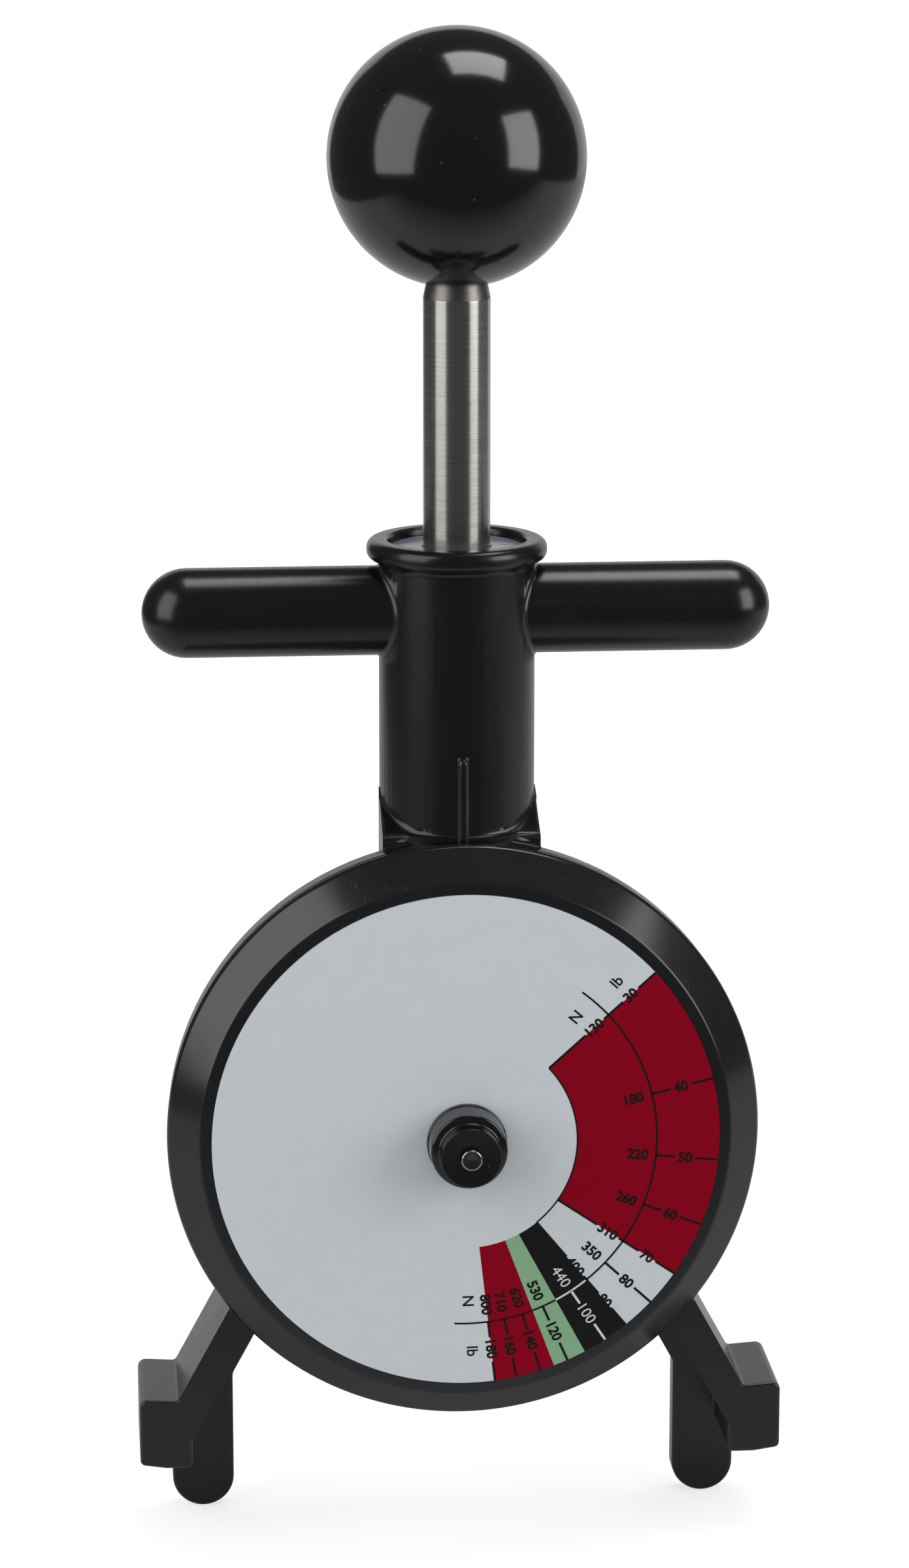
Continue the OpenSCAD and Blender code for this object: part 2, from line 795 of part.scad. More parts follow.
module crosshead_screw() {
    color(bright_zinc) {
        rod_cylinder(cross_screw_d / 2, crosshead_z, crosshead_z + cross_screw_l);
        rod_cylinder(cross_head_d / 2, crosshead_z, crosshead_z + cross_head_h);
    }
}

// One rack tooth, pointing to the pinion, with its centre line at height z
module rack_tooth(z) {
    half = gear_pitch / 4 - backlash / 2;
    lean = tan(pressure_angle) * gear_module;
    tip_x = -pitch_r + addendum * gear_module;
    polygon([
        [rack_root_x - eps, z - half - dedendum * lean],
        [tip_x, z - half + addendum * lean],
        [tip_x, z + half - addendum * lean],
        [rack_root_x - eps, z + half + dedendum * lean]
    ]);
}

module rack_outline() {
    neck_h = 4;
    neck_z = slot_bottom_z - rack_limb - neck_h;
    half_hook = hook_w / 2;
    top_land = 0.3;
    tooth_count = floor((limb_top_z - dial_z) / gear_pitch - top_land);
    polygon([
        [-rack_half_w, limb_top_z],
        [-rack_half_w, neck_z],
        [-half_hook, neck_z - rack_half_w + half_hook],
        [-half_hook, prong_z],
        [half_hook, prong_z],
        [half_hook, neck_z - rack_half_w + half_hook],
        [rack_half_w, neck_z],
        [rack_half_w, limb_top_z],
        [slot_right_x, limb_top_z],
        [slot_right_x, slot_bottom_z],
        [rack_root_x, slot_bottom_z],
        [rack_root_x, limb_top_z]
    ]);
    for (i = [-1:tooth_count - 1])
        rack_tooth(dial_z + (i + 0.5) * gear_pitch);
}

module rack_hook() {
    prong_top = prong_z + rack_t;
    lip_t = rack_t * 0.7;
    lip_round_d = hook_w * 1.15;
    color(ground_steel)
        difference() {
            union() {
                standing(rack_front, rack_back)
                    rack_outline();
                standing(prong_front, rack_back)
                    intersection() {
                        translate([-hook_w / 2, prong_z])
                            square([hook_w, rack_t]);
                        translate([0, prong_top - hook_crown])
                            circle(r = hook_crown, $fn = 128);
                    }
                standing(prong_front, prong_front + lip_t)
                    intersection() {
                        translate([-hook_w / 2, prong_z])
                            square([hook_w, rack_t + hook_lip]);
                        translate([0, prong_top + hook_lip - hook_w / 2])
                            circle(d = lip_round_d);
                    }
            }
            mirrored_x()
                dial_cylinder(rack_screw_d / 2, rack_front - cut, rack_back + cut, rack_screw_x, rack_screw_z);
        }
}

module rack_screws() {
    color(bright_zinc)
        mirrored_x() {
            dial_cylinder(rack_screw_d / 2, rack_front - rack_screw_grip, rack_back, rack_screw_x, rack_screw_z);
            dial_cylinder(rack_screw_head_d / 2, rack_back, rack_back + rack_screw_head_h,
                rack_screw_x, rack_screw_z);
        }
}

// Dial: bevelled cap, label, hub, shaft and pinion turn together
module dial_cap() {
    back_r = dial_d / 2;
    front_r = dial_front_d / 2;
    boss_r = hub_foot_d / 2;
    boss_gap = 0.2;
    boss_back = plate_front - shaft_collar_t - boss_gap;
    color(moulded_black)
        difference() {
            dial_revolve()
                polygon([
                    [0, -boss_back],
                    [boss_r, -boss_back],
                    [boss_r, -dial_front - dial_wall],
                    [front_r - dial_wall, -dial_front - dial_wall],
                    [back_r - dial_wall, -dial_back],
                    [back_r, -dial_back],
                    [back_r, -dial_back + dial_edge_h],
                    [front_r, -dial_front],
                    [0, -dial_front]
                ]);
            dial_cylinder(shaft_r, dial_front - cut, boss_back + cut);
        }
}

module dial_label() {
    color(label_white)
        difference() {
            dial_cylinder(label_d / 2, label_front, dial_front);
            dial_cylinder(shaft_r, label_front - cut, dial_front + cut);
        }
}

module dial_hub() {
    base_r = hub_foot_d / 2;
    foot_step = 0.25;
    color(phenolic_black)
        difference() {
            dial_revolve()
                polygon([
                    [0, -label_front],
                    [base_r, -label_front],
                    [base_r, -label_front + hub_foot_h],
                    [base_r - foot_step, -label_front + hub_foot_h],
                    [hub_side_d / 2, -hub_front - hub_cone_h],
                    [hub_front_d / 2, -hub_front],
                    [shaft_r, -hub_front - hub_dish],
                    [0, -hub_front - hub_dish]
                ]);
            dial_cylinder(shaft_r, hub_front - cut, label_front + cut);
        }
}

module dial_shaft() {
    color(ground_steel)
        difference() {
            dial_cylinder(shaft_r, shaft_front, shaft_back);
            dial_cylinder(dimple_d / 2, shaft_front - cut, shaft_front + dimple_depth);
            pinion_pin_hole();
        }
}

module shaft_clip() {
    gap = 0.15;
    color(ground_steel)
        difference() {
            dial_cylinder(clip_d / 2, channel_front + gap, channel_front + gap + clip_t);
            dial_cylinder(shaft_r, channel_front - cut, channel_front + gap + clip_t + cut);
        }
}

// Tooth flanks are involutes from the base circle to the tip; teeth lie on the half pitch points
module pinion_outline() {
    base = pitch_r * cos(pressure_angle);
    flank_steps = 4;
    tip_t = sqrt(pow(tip_r / base, 2) - 1) * 180 / PI;
    pitch_t = sqrt(pow(pitch_r / base, 2) - 1) * 180 / PI;
    pitch_point = involute(base, pitch_t);
    half_tooth = 360 / pinion_teeth / 4 - backlash / 2 / pitch_r * 180 / PI;
    turn = -half_tooth - atan2(pitch_point.y, pitch_point.x);
    flank = [for (i = [0:flank_steps]) rotated(involute(base, tip_t * i / flank_steps), turn)];
    root = rotated([root_r, 0], atan2(flank[0].y, flank[0].x));
    tooth = concat([root], flank, [for (i = [flank_steps:-1:0]) [flank[i].x, -flank[i].y]], [[root.x, -root.y]]);
    polygon([for (k = [0:pinion_teeth - 1]) for (p = tooth) rotated(p, 360 * k / pinion_teeth)]);
}

module pinion_pin_hole() {
    translate([0, plunger_y + pinion_back + pinion_boss_l / 2, dial_z])
        cylinder(d = pinion_pin_d, h = pinion_boss_d + 2 * cut, center = true);
}

module pinion() {
    color(brass)
        difference() {
            union() {
                translate([0, 0, dial_z])
                    standing(pinion_front, pinion_back)
                        pinion_outline();
                dial_cylinder(pinion_boss_d / 2, pinion_back - eps, pinion_back + pinion_boss_l);
            }
            dial_cylinder(shaft_r, pinion_front - cut, pinion_back + pinion_boss_l + cut);
            pinion_pin_hole();
        }
}

module pinion_pin() {
    color(ground_steel)
        translate([0, plunger_y + pinion_back + pinion_boss_l / 2, dial_z])
            cylinder(d = pinion_pin_d, h = pinion_pin_l, center = true);
}

body_frame();
top_bush();
lower_bush();
spring_washer();
front_shaft_bush();
rear_shaft_bush();
rear_cover();
rear_cover_screws();
return_spring();
ball_knob();
knob_insert();
plunger_rod();
bumper_washer();
spring_collar();
collar_pin();
crosshead();
crosshead_screw();
rack_hook();
rack_screws();
dial_cap();
dial_label();
dial_hub();
dial_shaft();
shaft_clip();
pinion();
pinion_pin();
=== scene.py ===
# %% [markdown]
# # A belt tension tester, piece by piece
# The tester hooks a drive belt between two feet. A hand pulls the finger handle towards the ball
# knob, a spring inside the barrel gives way, and a rack turns the big dial under the rib.
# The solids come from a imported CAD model. This lesson dresses them: rounded mouldings, turned
# pieces, a printed dial and the finishes of each real material.

# %% Load the frame
import bmesh
import bpy
import math
from mathutils import Matrix, Vector


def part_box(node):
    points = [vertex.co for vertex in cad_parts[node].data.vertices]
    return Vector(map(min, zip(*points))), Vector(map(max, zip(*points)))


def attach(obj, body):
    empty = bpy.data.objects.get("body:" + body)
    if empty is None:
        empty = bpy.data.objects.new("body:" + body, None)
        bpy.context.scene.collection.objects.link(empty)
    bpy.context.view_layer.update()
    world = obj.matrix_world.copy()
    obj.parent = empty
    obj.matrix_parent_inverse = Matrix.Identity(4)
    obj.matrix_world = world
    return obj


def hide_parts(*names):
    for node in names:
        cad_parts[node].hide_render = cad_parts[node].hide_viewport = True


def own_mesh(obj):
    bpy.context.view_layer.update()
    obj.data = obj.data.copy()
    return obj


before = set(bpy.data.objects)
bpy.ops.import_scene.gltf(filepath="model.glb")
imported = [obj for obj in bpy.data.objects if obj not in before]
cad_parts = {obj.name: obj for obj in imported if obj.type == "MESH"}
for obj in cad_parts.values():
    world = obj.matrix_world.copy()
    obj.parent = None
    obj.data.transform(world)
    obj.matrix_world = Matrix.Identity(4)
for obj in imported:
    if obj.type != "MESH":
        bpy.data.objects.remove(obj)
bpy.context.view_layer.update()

# %% [markdown]
# ## Where things are
# Blender works in metres, but a maker thinks of this tester in millimetres. Each piece is
# modelled in millimetres and shrunk once, when it is handed over. The dial turns about one line
# and the plunger slides along another, so both are read from the solids.

# %% The two axes
MM = 0.001


def box_mm(node):
    """The low and the high corner of a solid's box, in millimetres."""
    return [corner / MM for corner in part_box(node)]


dial_low, dial_high = box_mm("dial_cap")
rod_low, rod_high = box_mm("plunger_rod")
dial_z = (dial_low.z + dial_high.z) / 2
plunger_y = (rod_low.y + rod_high.y) / 2
print(f"dial axis at height {dial_z:.2f} mm, plunger axis at depth {plunger_y:.3f} mm")

# %% [markdown]
# ## The camera
# The photograph looks down on the tester from a little to its left with a long lens. The place
# and the lens were fitted to the feet, the handle, the ball and the dial's edge.

# %% Photo camera
camera_data = bpy.data.cameras.new("photo_camera")
camera_data.lens = 107.64
camera_data.sensor_width = 36
camera_data.clip_start = 0.01
camera = bpy.data.objects.new("photo_camera", camera_data)
camera.location = Vector((-56.55, -680.18, 277.80)) * MM
camera.rotation_euler = Vector((0.07969, 0.97027, -0.22855)).to_track_quat("-Z", "Y").to_euler()
bpy.context.scene.collection.objects.link(camera)
bpy.context.scene.camera = camera
bpy.context.scene.view_settings.view_transform = "Standard"
print("camera at", [round(c, 3) for c in camera.location], "lens", camera_data.lens)

# %% [markdown]
# ## Nodes and colours
# Colours are written as sRGB hex values, as a paint program shows them, while shaders count in
# linear light. One function converts them, and one other adds a node with its settings and links.
# Three more start a finish, turn the size of a grain into the scale of a texture, and link what
# was made to the shader.

# %% Helpers for finishes
def linear(hex_colour):
    """The sRGB colour '#RRGGBB' as linear red, green, blue and alpha."""
    channels = [int(hex_colour[i:i + 2], 16) / 255 for i in (1, 3, 5)]
    return [c / 12.92 if c <= 0.04045 else ((c + 0.055) / 1.055) ** 2.4 for c in channels] + [1.0]


def add_node(tree, kind, settings=None, links=None, **properties):
    """A new node: settings fill its sockets, links join other nodes' outputs to them."""
    node = tree.nodes.new(kind)
    for name, value in properties.items():
        setattr(node, name, value)
    for socket, value in (settings or {}).items():
        node.inputs[socket].default_value = value
    for socket, source in (links or {}).items():
        tree.links.new(source, node.inputs[socket])
    return node


def new_finish(name, **sockets):
    """A material, its tree, its shader and its Object coordinates; sockets set constant values."""
    finish = bpy.data.materials.new(name)
    finish.use_nodes = True
    tree = finish.node_tree
    shader = tree.nodes["Principled BSDF"]
    for socket, value in sockets.items():
        shader.inputs[socket.replace("_", " ")].default_value = value
    place = add_node(tree, "ShaderNodeTexCoord").outputs["Object"]
    return finish, tree, shader, place


def grain(size_mm):
    """The scale of a noise texture whose grains are about size_mm wide."""
    return 1 / (size_mm * MM)


def join(tree, shader, **nodes):
    """Links each node's first output to the shader's socket of that name."""
    for socket, node in nodes.items():
        tree.links.new(node.outputs[0], shader.inputs[socket.replace("_", " ")])


print("label grey in linear light:", [round(c, 3) for c in linear("#BDC3C7")])

# %% [markdown]
# ## The studio
# The ball shows what stood round it: one large softbox at the left, a smaller one at the right,
# one overhead, a white table and a white screen behind, and a dark room on the camera's side.
# Lamps of those sizes in those directions give the same patches on the ball and the rod.

# %% Softboxes
ball_centre = Vector((0, plunger_y, 210.55)) * MM
lamp_distance = 0.95
WATTS_PER_BRIGHT_M2 = 4  # an area lamp of this power has a radiance of 1 on each square metre


def softbox(name, direction, across, width, height, brightness):
    """An area lamp that faces the ball, its width along across; brightness is its front's radiance."""
    lamp = bpy.data.lights.new(name, "AREA")
    lamp.shape = "RECTANGLE"
    lamp.size, lamp.size_y = width, height
    lamp.energy = brightness * WATTS_PER_BRIGHT_M2 * width * height
    stand = bpy.data.objects.new(name, lamp)
    aim = Vector(direction).normalized()
    upward = aim.cross(Vector(across)).normalized()
    stand.location = ball_centre + aim * lamp_distance
    stand.rotation_euler = Matrix((upward.cross(aim), upward, aim)).transposed().to_euler()
    bpy.context.scene.collection.objects.link(stand)
    print(name, f"{lamp.energy:.1f} W")


softbox("left_softbox", (-0.83, -0.45, 0.34), (0.48, -0.88, 0.01), 0.71, 1.08, 1.75)
softbox("right_softbox", (0.82, -0.51, 0.25), (0.55, 0.83, -0.11), 0.52, 0.72, 2.85)
softbox("top_softbox", (0.22, 0.11, 0.97), (0.97, 0.11, -0.23), 0.60, 0.45, 3.7)

# %% [markdown]
# ## Table and screen
# Both are pale matt sheets. Rays from the camera, and rays mirrored by gloss or glass, also see
# them glow a little, so that the background turns white without more light on the tester. Near the
# tester the table glows less, and so it still shows the tester's shadow. Its front margin is dark
# to every ray but the camera's, because the ball mirrors a dark front.

# %% Table, screen and room
margin_front, margin_back = -0.26, -0.05


def glowing_sheet(name, front_hex, paper_hex, camera_glow, mirrored_glow):
    """A pale matt paper that glows only for camera, mirrored and refracted rays.

    Each glow holds two pairs of a depth in metres and the strength there.
    """
    paper, tree, shader, place = new_finish(name, Roughness=0.9)
    depth = add_node(tree, "ShaderNodeSeparateXYZ", links={0: place}).outputs["Y"]
    path = add_node(tree, "ShaderNodeLightPath").outputs
    mirrored = add_node(
        tree, "ShaderNodeMath",
        links={0: path["Is Glossy Ray"], 1: path["Is Transmission Ray"]}, operation="MAXIMUM",
    )
    glow = None
    for ray, (near, far) in ((path["Is Camera Ray"], camera_glow), (mirrored.outputs[0], mirrored_glow)):
        strength = add_node(
            tree, "ShaderNodeMapRange",
            {"From Min": near[0], "From Max": far[0], "To Min": near[1], "To Max": far[1]},
            {"Value": depth}, interpolation_type="SMOOTHSTEP",
        )
        links = {0: ray, 1: strength.outputs["Result"]}
        if glow:
            links[2] = glow.outputs[0]
        glow = add_node(tree, "ShaderNodeMath", {2: 0}, links, operation="MULTIPLY_ADD")
    behind_margin = add_node(
        tree, "ShaderNodeMapRange", {"From Min": margin_front, "From Max": margin_back}, {"Value": depth}
    )
    paleness = add_node(
        tree, "ShaderNodeMath",
        links={0: behind_margin.outputs["Result"], 1: path["Is Camera Ray"]}, operation="MAXIMUM",
    )
    tone = add_node(
        tree, "ShaderNodeMixRGB", {1: linear(front_hex), 2: linear(paper_hex)}, {0: paleness.outputs[0]}
    )
    tree.links.new(tone.outputs[0], shader.inputs["Base Color"])
    shader.inputs["Emission Color"].default_value = (1, 1, 1, 1)
    tree.links.new(glow.outputs[0], shader.inputs["Emission Strength"])
    return paper


def stage_sheet(name, width, depth, place, turn, paper):
    """A flat sheet of the studio, in metres, turned about x and moved to its place."""
    sheet = bmesh.new()
    bmesh.ops.create_grid(sheet, x_segments=1, y_segments=1, size=0.5)
    bmesh.ops.scale(sheet, vec=(width, depth, 1), verts=sheet.verts)
    bmesh.ops.rotate(sheet, cent=(0, 0, 0), matrix=Matrix.Rotation(turn, 3, "X"), verts=sheet.verts)
    bmesh.ops.translate(sheet, vec=place, verts=sheet.verts)
    mesh = bpy.data.meshes.new(name)
    sheet.to_mesh(mesh)
    sheet.free()
    mesh.materials.append(paper)
    stage_object = bpy.data.objects.new(name, mesh)
    bpy.context.scene.collection.objects.link(stage_object)
    print(name, [round(c, 2) for c in stage_object.dimensions])


table_paper = glowing_sheet(
    "white_table_paper", "#303030", "#A8A8A8", ((0.2, 0.68), (0.55, 0.85)), ((-0.25, 0.0), (0.8, 0.26))
)
screen_paper = glowing_sheet(
    "white_screen_paper", "#DDDDDD", "#DDDDDD", ((0, 1.0), (1, 1.0)), ((0, 0.2), (1, 0.2))
)
stage_sheet("table", 1.22, 1.94, (0.19, 0.73, -0.0003), 0, table_paper)
stage_sheet("screen", 2.82, 1.57, (0.62, 1.7, 0.285), math.radians(90), screen_paper)

room = bpy.data.worlds.new("dim_room")
bpy.context.scene.world = room
room.use_nodes = True
room_tree = room.node_tree
room_path = add_node(room_tree, "ShaderNodeLightPath").outputs
backdrop_white = add_node(
    room_tree, "ShaderNodeMapRange", {"To Min": 0.09, "To Max": 1.0}, {"Value": room_path["Is Camera Ray"]}
)
room_light = add_node(
    room_tree, "ShaderNodeMath", {1: 0.55},
    {0: room_path["Is Diffuse Ray"], 2: backdrop_white.outputs["Result"]}, operation="MULTIPLY_ADD",
)
room_tree.links.new(room_light.outputs[0], room_tree.nodes["Background"].inputs["Strength"])
room_tree.nodes["Background"].inputs["Color"].default_value = (1, 1, 1, 1)
print("room:", room.name)

# %% [markdown]
# ## Moulded nylon: the body
# The body is one injection moulding in black glass-filled nylon. Fresh from a polished tool it is
# satin, with a faint orange-peel from the glass fibres, and its corners are rubbed shinier by
# hands. The rubbed corners read a face attribute that the rounding step writes. The same attribute
# also carries a painted highlight: a lighter, glossier tone along both edges of the rib.

# %% Finish: glass-filled nylon
moulded_nylon, tree, shader, place = new_finish("glass_filled_nylon_moulded", IOR=1.53)
cloud = add_node(tree, "ShaderNodeTexNoise", {"Scale": grain(9), "Detail": 3}, {"Vector": place})
peel = add_node(tree, "ShaderNodeTexNoise", {"Scale": grain(0.9), "Detail": 4}, {"Vector": place})
rub_and_sheen = add_node(tree, "ShaderNodeAttribute", attribute_name="rubbed_edge_and_sheen")
patchy_rub_and_sheen = add_node(
    tree, "ShaderNodeMath", links={0: rub_and_sheen.outputs["Fac"], 1: cloud.outputs["Fac"]}, operation="MULTIPLY"
)
tone = add_node(
    tree, "ShaderNodeMixRGB", {1: linear("#0D0A08"), 2: linear("#14110F")}, {0: cloud.outputs["Fac"]}
)
# Lighter, glossier tone where the attribute is set: rubbed corners, and a painted highlight on the rib's edges.
worn_and_sheen = add_node(
    tree, "ShaderNodeMixRGB", {2: linear("#2A2928")}, {0: patchy_rub_and_sheen.outputs[0], 1: tone.outputs[0]}
)
gloss = add_node(tree, "ShaderNodeMapRange", {"To Min": 0.20, "To Max": 0.29}, {"Value": peel.outputs["Fac"]})
polished = add_node(
    tree, "ShaderNodeMath", {1: -0.08}, {0: patchy_rub_and_sheen.outputs[0], 2: gloss.outputs["Result"]},
    operation="MULTIPLY_ADD",
)
relief = add_node(
    tree, "ShaderNodeBump", {"Strength": 0.12, "Distance": 0.05 * MM}, {"Height": peel.outputs["Fac"]}
)
join(tree, shader, Base_Color=worn_and_sheen, Roughness=polished, Normal=relief)
print("made", moulded_nylon.name)

# %% [markdown]
# ## ABS: the dial cap
# The dial's cap is glossier: ABS with a bluish black, mirror smooth where it left the tool, with
# fine scratches and scuffs from years in a drawer. Noise that is stretched twenty to thirty times
# along one direction and cut off high gives short hair lines; two directions keep it from looking
# combed, and a coarse noise keeps them in patches.

# %% Finish: glossy ABS with scratches
scuffed_abs, tree, shader, place = new_finish("black_abs_scuffed", IOR=1.54)
scratch_w, scratch_mask = 0.12, None
for turn, length_mm, cut in ((50, 4.0, 0.72), (-35, 2.5, 0.73)):
    lay = add_node(
        tree, "ShaderNodeMapping",
        {"Rotation": (0, math.radians(turn), 0), "Scale": (grain(scratch_w), grain(2), grain(length_mm))},
        {"Vector": place},
    )
    hair = add_node(tree, "ShaderNodeTexNoise", {"Scale": 1.0, "Detail": 1}, {"Vector": lay.outputs[0]})
    line = add_node(
        tree, "ShaderNodeMapRange", {"From Min": cut, "From Max": cut + 0.05}, {"Value": hair.outputs["Fac"]}
    )
    if scratch_mask is None:
        scratch_mask = line.outputs["Result"]
    else:
        scratch_mask = add_node(
            tree, "ShaderNodeMath", links={0: scratch_mask, 1: line.outputs["Result"]}, operation="MAXIMUM"
        ).outputs[0]
scuff = add_node(
    tree, "ShaderNodeTexNoise", {"Scale": grain(11), "Detail": 5, "Roughness": 0.65}, {"Vector": place}
)
where = add_node(
    tree, "ShaderNodeMapRange", {"From Min": 0.52, "From Max": 0.66}, {"Value": scuff.outputs["Fac"]}
)
scratch_mask = add_node(
    tree, "ShaderNodeMath", links={0: scratch_mask, 1: where.outputs["Result"]}, operation="MULTIPLY"
).outputs[0]
tone = add_node(tree, "ShaderNodeMixRGB", {1: linear("#17171B"), 2: linear("#37373B")}, {0: scratch_mask})
haze = add_node(tree, "ShaderNodeMapRange", {"To Min": 0.10, "To Max": 0.24}, {"Value": scuff.outputs["Fac"]})
gloss = add_node(
    tree, "ShaderNodeMath", {1: 0.35}, {0: scratch_mask, 2: haze.outputs["Result"]}, operation="MULTIPLY_ADD"
)
join(tree, shader, Base_Color=tone, Roughness=gloss)
print("made", scuffed_abs.name)

# %% [markdown]
# ## Phenolic: ball and hub
# Ball knobs are pressed from phenolic resin and tumbled to a polish. The black is deep, the
# reflections are clear but a little soft, and a few dust specks break them.

# %% Finish: polished phenolic
polished_phenolic, tree, shader, place = new_finish("phenolic_polished", IOR=1.6)
tumble = add_node(tree, "ShaderNodeTexNoise", {"Scale": grain(0.6), "Detail": 2}, {"Vector": place})
specks = add_node(tree, "ShaderNodeTexNoise", {"Scale": grain(0.5), "Detail": 0}, {"Vector": place})
dust = add_node(
    tree, "ShaderNodeMapRange", {"From Min": 0.86, "From Max": 0.89}, {"Value": specks.outputs["Fac"]}
)
tone = add_node(
    tree, "ShaderNodeMixRGB", {1: linear("#0D0D10"), 2: linear("#55534F")}, {0: dust.outputs["Result"]}
)
gloss = add_node(
    tree, "ShaderNodeMapRange", {"To Min": 0.09, "To Max": 0.17}, {"Value": tumble.outputs["Fac"]}
)
join(tree, shader, Base_Color=tone, Roughness=gloss)
print("made", polished_phenolic.name)

# %% [markdown]
# ## Ground steel: rod, rack and pins
# The rod is ground between wheels while it turns, so the fine lines run round it. They are about
# 0.05 mm apart on the real rod, drawn here at 0.25 mm to show at all. A few pits are left over.

# %% Finish: centreless-ground steel
ground_steel, tree, shader, place = new_finish(
    "steel_centreless_ground", Metallic=1.0, Anisotropic=0.85, Anisotropic_Rotation=0.25
)
rings = add_node(
    tree, "ShaderNodeMapping", {"Scale": (grain(8), grain(8), grain(0.25))}, {"Vector": place}
)
lines = add_node(tree, "ShaderNodeTexNoise", {"Scale": 1.0, "Detail": 3}, {"Vector": rings.outputs[0]})
pits = add_node(tree, "ShaderNodeTexNoise", {"Scale": grain(0.5), "Detail": 1}, {"Vector": place})
pit = add_node(
    tree, "ShaderNodeMapRange", {"From Min": 0.80, "From Max": 0.83}, {"Value": pits.outputs["Fac"]}
)
sheen = add_node(
    tree, "ShaderNodeMixRGB", {1: linear("#999793"), 2: linear("#BFBEBA")}, {0: lines.outputs["Fac"]}
)
tone = add_node(
    tree, "ShaderNodeMixRGB", {2: linear("#4E4B47")}, {0: pit.outputs["Result"], 1: sheen.outputs[0]}
)
gloss = add_node(
    tree, "ShaderNodeMapRange", {"To Min": 0.22, "To Max": 0.33}, {"Value": lines.outputs["Fac"]}
)
relief = add_node(
    tree, "ShaderNodeBump", {"Strength": 0.13, "Distance": 0.02 * MM}, {"Height": lines.outputs["Fac"]}
)
join(tree, shader, Base_Color=tone, Roughness=gloss, Normal=relief)
round_the_rod = add_node(tree, "ShaderNodeTangent", direction_type="RADIAL", axis="Z")
tree.links.new(round_the_rod.outputs[0], shader.inputs["Tangent"])
print("made", ground_steel.name)

# %% [markdown]
# ## Small metals
# The screws and the crosshead are zinc plated and passivated, with a faint blue bloom. Spring wire
# is drawn and oiled, darker and streaky. The bushes are sintered bronze, full of small pores, and
# the insert and pinion are turned brass. The shaft's rim is polished. The darker steel in the
# shaft's end recess and on the rod's turned chamfer is painted shade. Each differs in colour, in
# gloss and in the size of its pattern, so the same five nodes with other numbers serve them all.

# %% Finishes: plated, drawn, sintered and turned metal
def small_metal(name, low_hex, high_hex, spot_mm, smooth, rough, stretch=(1, 1, 1)):
    """A metal whose colour and roughness vary together in spots of spot_mm."""
    finish, tree, shader, place = new_finish(name, Metallic=1.0)
    scale = [grain(spot_mm * s) for s in stretch]
    lay = add_node(tree, "ShaderNodeMapping", {"Scale": scale}, {"Vector": place})
    spots = add_node(tree, "ShaderNodeTexNoise", {"Scale": 1.0, "Detail": 4}, {"Vector": lay.outputs[0]})
    tone = add_node(
        tree, "ShaderNodeMixRGB", {1: linear(low_hex), 2: linear(high_hex)}, {0: spots.outputs["Fac"]}
    )
    gloss = add_node(
        tree, "ShaderNodeMapRange", {"To Min": smooth, "To Max": rough}, {"Value": spots.outputs["Fac"]}
    )
    relief = add_node(
        tree, "ShaderNodeBump", {"Strength": 0.15, "Distance": 0.02 * MM}, {"Height": spots.outputs["Fac"]}
    )
    join(tree, shader, Base_Color=tone, Roughness=gloss, Normal=relief)
    print("made", name)
    return finish


zinc_plate = small_metal("zinc_plate_passivated", "#AEB4BA", "#D2D3D0", 1.6, 0.24, 0.42)
spring_wire = small_metal("spring_wire_drawn", "#6E6D6A", "#A3A29E", 0.8, 0.26, 0.44, (4, 4, 1))
sintered_bronze = small_metal("bronze_sintered", "#7A5A30", "#B98F55", 0.35, 0.36, 0.62)
polished_steel = small_metal("steel_polished", "#A3A29F", "#BDBCB9", 0.5, 0.10, 0.18)
# Darker steel for the shaft's end recess: painted shade in the recess.
recess_shade_steel = small_metal("steel_painted_recess_shade", "#5A5956", "#706F6C", 0.5, 0.12, 0.20)
# Darker steel for the rod's chamfer: painted shade under the ball, on a rougher turned surface.
turned_steel_shaded = small_metal("steel_turned_painted_shade", "#6C6A68", "#8C8A87", 0.5, 0.30, 0.44, (6, 6, 0.4))
turned_brass = small_metal("brass_turned", "#B58E49", "#D9B972", 0.6, 0.18, 0.34, (5, 0.4, 5))

# %% [markdown]
# ## Acetal and rubber
# The bush in the barrel's mouth is black acetal, waxy and fairly glossy with flow marks. Its pale
# blue grey is a painted reflection of the overhead light on its top face. The bumper under it is
# matt rubber with a dusty bloom. It hides inside, but a section cut would show it.

# %% Finishes: acetal and rubber
acetal_with_painted_reflection, tree, shader, place = new_finish("acetal_painted_reflection", IOR=1.48)
flow = add_node(
    tree, "ShaderNodeTexNoise", {"Scale": grain(2.2), "Detail": 4, "Distortion": 1.2}, {"Vector": place}
)
# Pale blue grey: a painted reflection of the overhead light, varied by the flow marks.
tone = add_node(
    tree, "ShaderNodeMixRGB", {1: linear("#62656F"), 2: linear("#878B99")}, {0: flow.outputs["Fac"]}
)
gloss = add_node(tree, "ShaderNodeMapRange", {"To Min": 0.10, "To Max": 0.22}, {"Value": flow.outputs["Fac"]})
join(tree, shader, Base_Color=tone, Roughness=gloss)

bumper_rubber, tree, shader, place = new_finish("rubber_moulded", IOR=1.5)
bloom = add_node(tree, "ShaderNodeTexNoise", {"Scale": grain(1.4), "Detail": 5}, {"Vector": place})
tone = add_node(
    tree, "ShaderNodeMixRGB", {1: linear("#1B1B1C"), 2: linear("#383836")}, {0: bloom.outputs["Fac"]}
)
gloss = add_node(tree, "ShaderNodeMapRange", {"To Min": 0.65, "To Max": 0.9}, {"Value": bloom.outputs["Fac"]})
join(tree, shader, Base_Color=tone, Roughness=gloss)
print("made", acetal_with_painted_reflection.name, bumper_rubber.name)

# %% [markdown]
# ## Vinyl and inks: the dial's print
# The dial's face is a white vinyl disc, screen printed. Vinyl is satin with a slight ripple from
# the glue under it. Each ink covers a little unevenly, so its colour wanders by a shade.

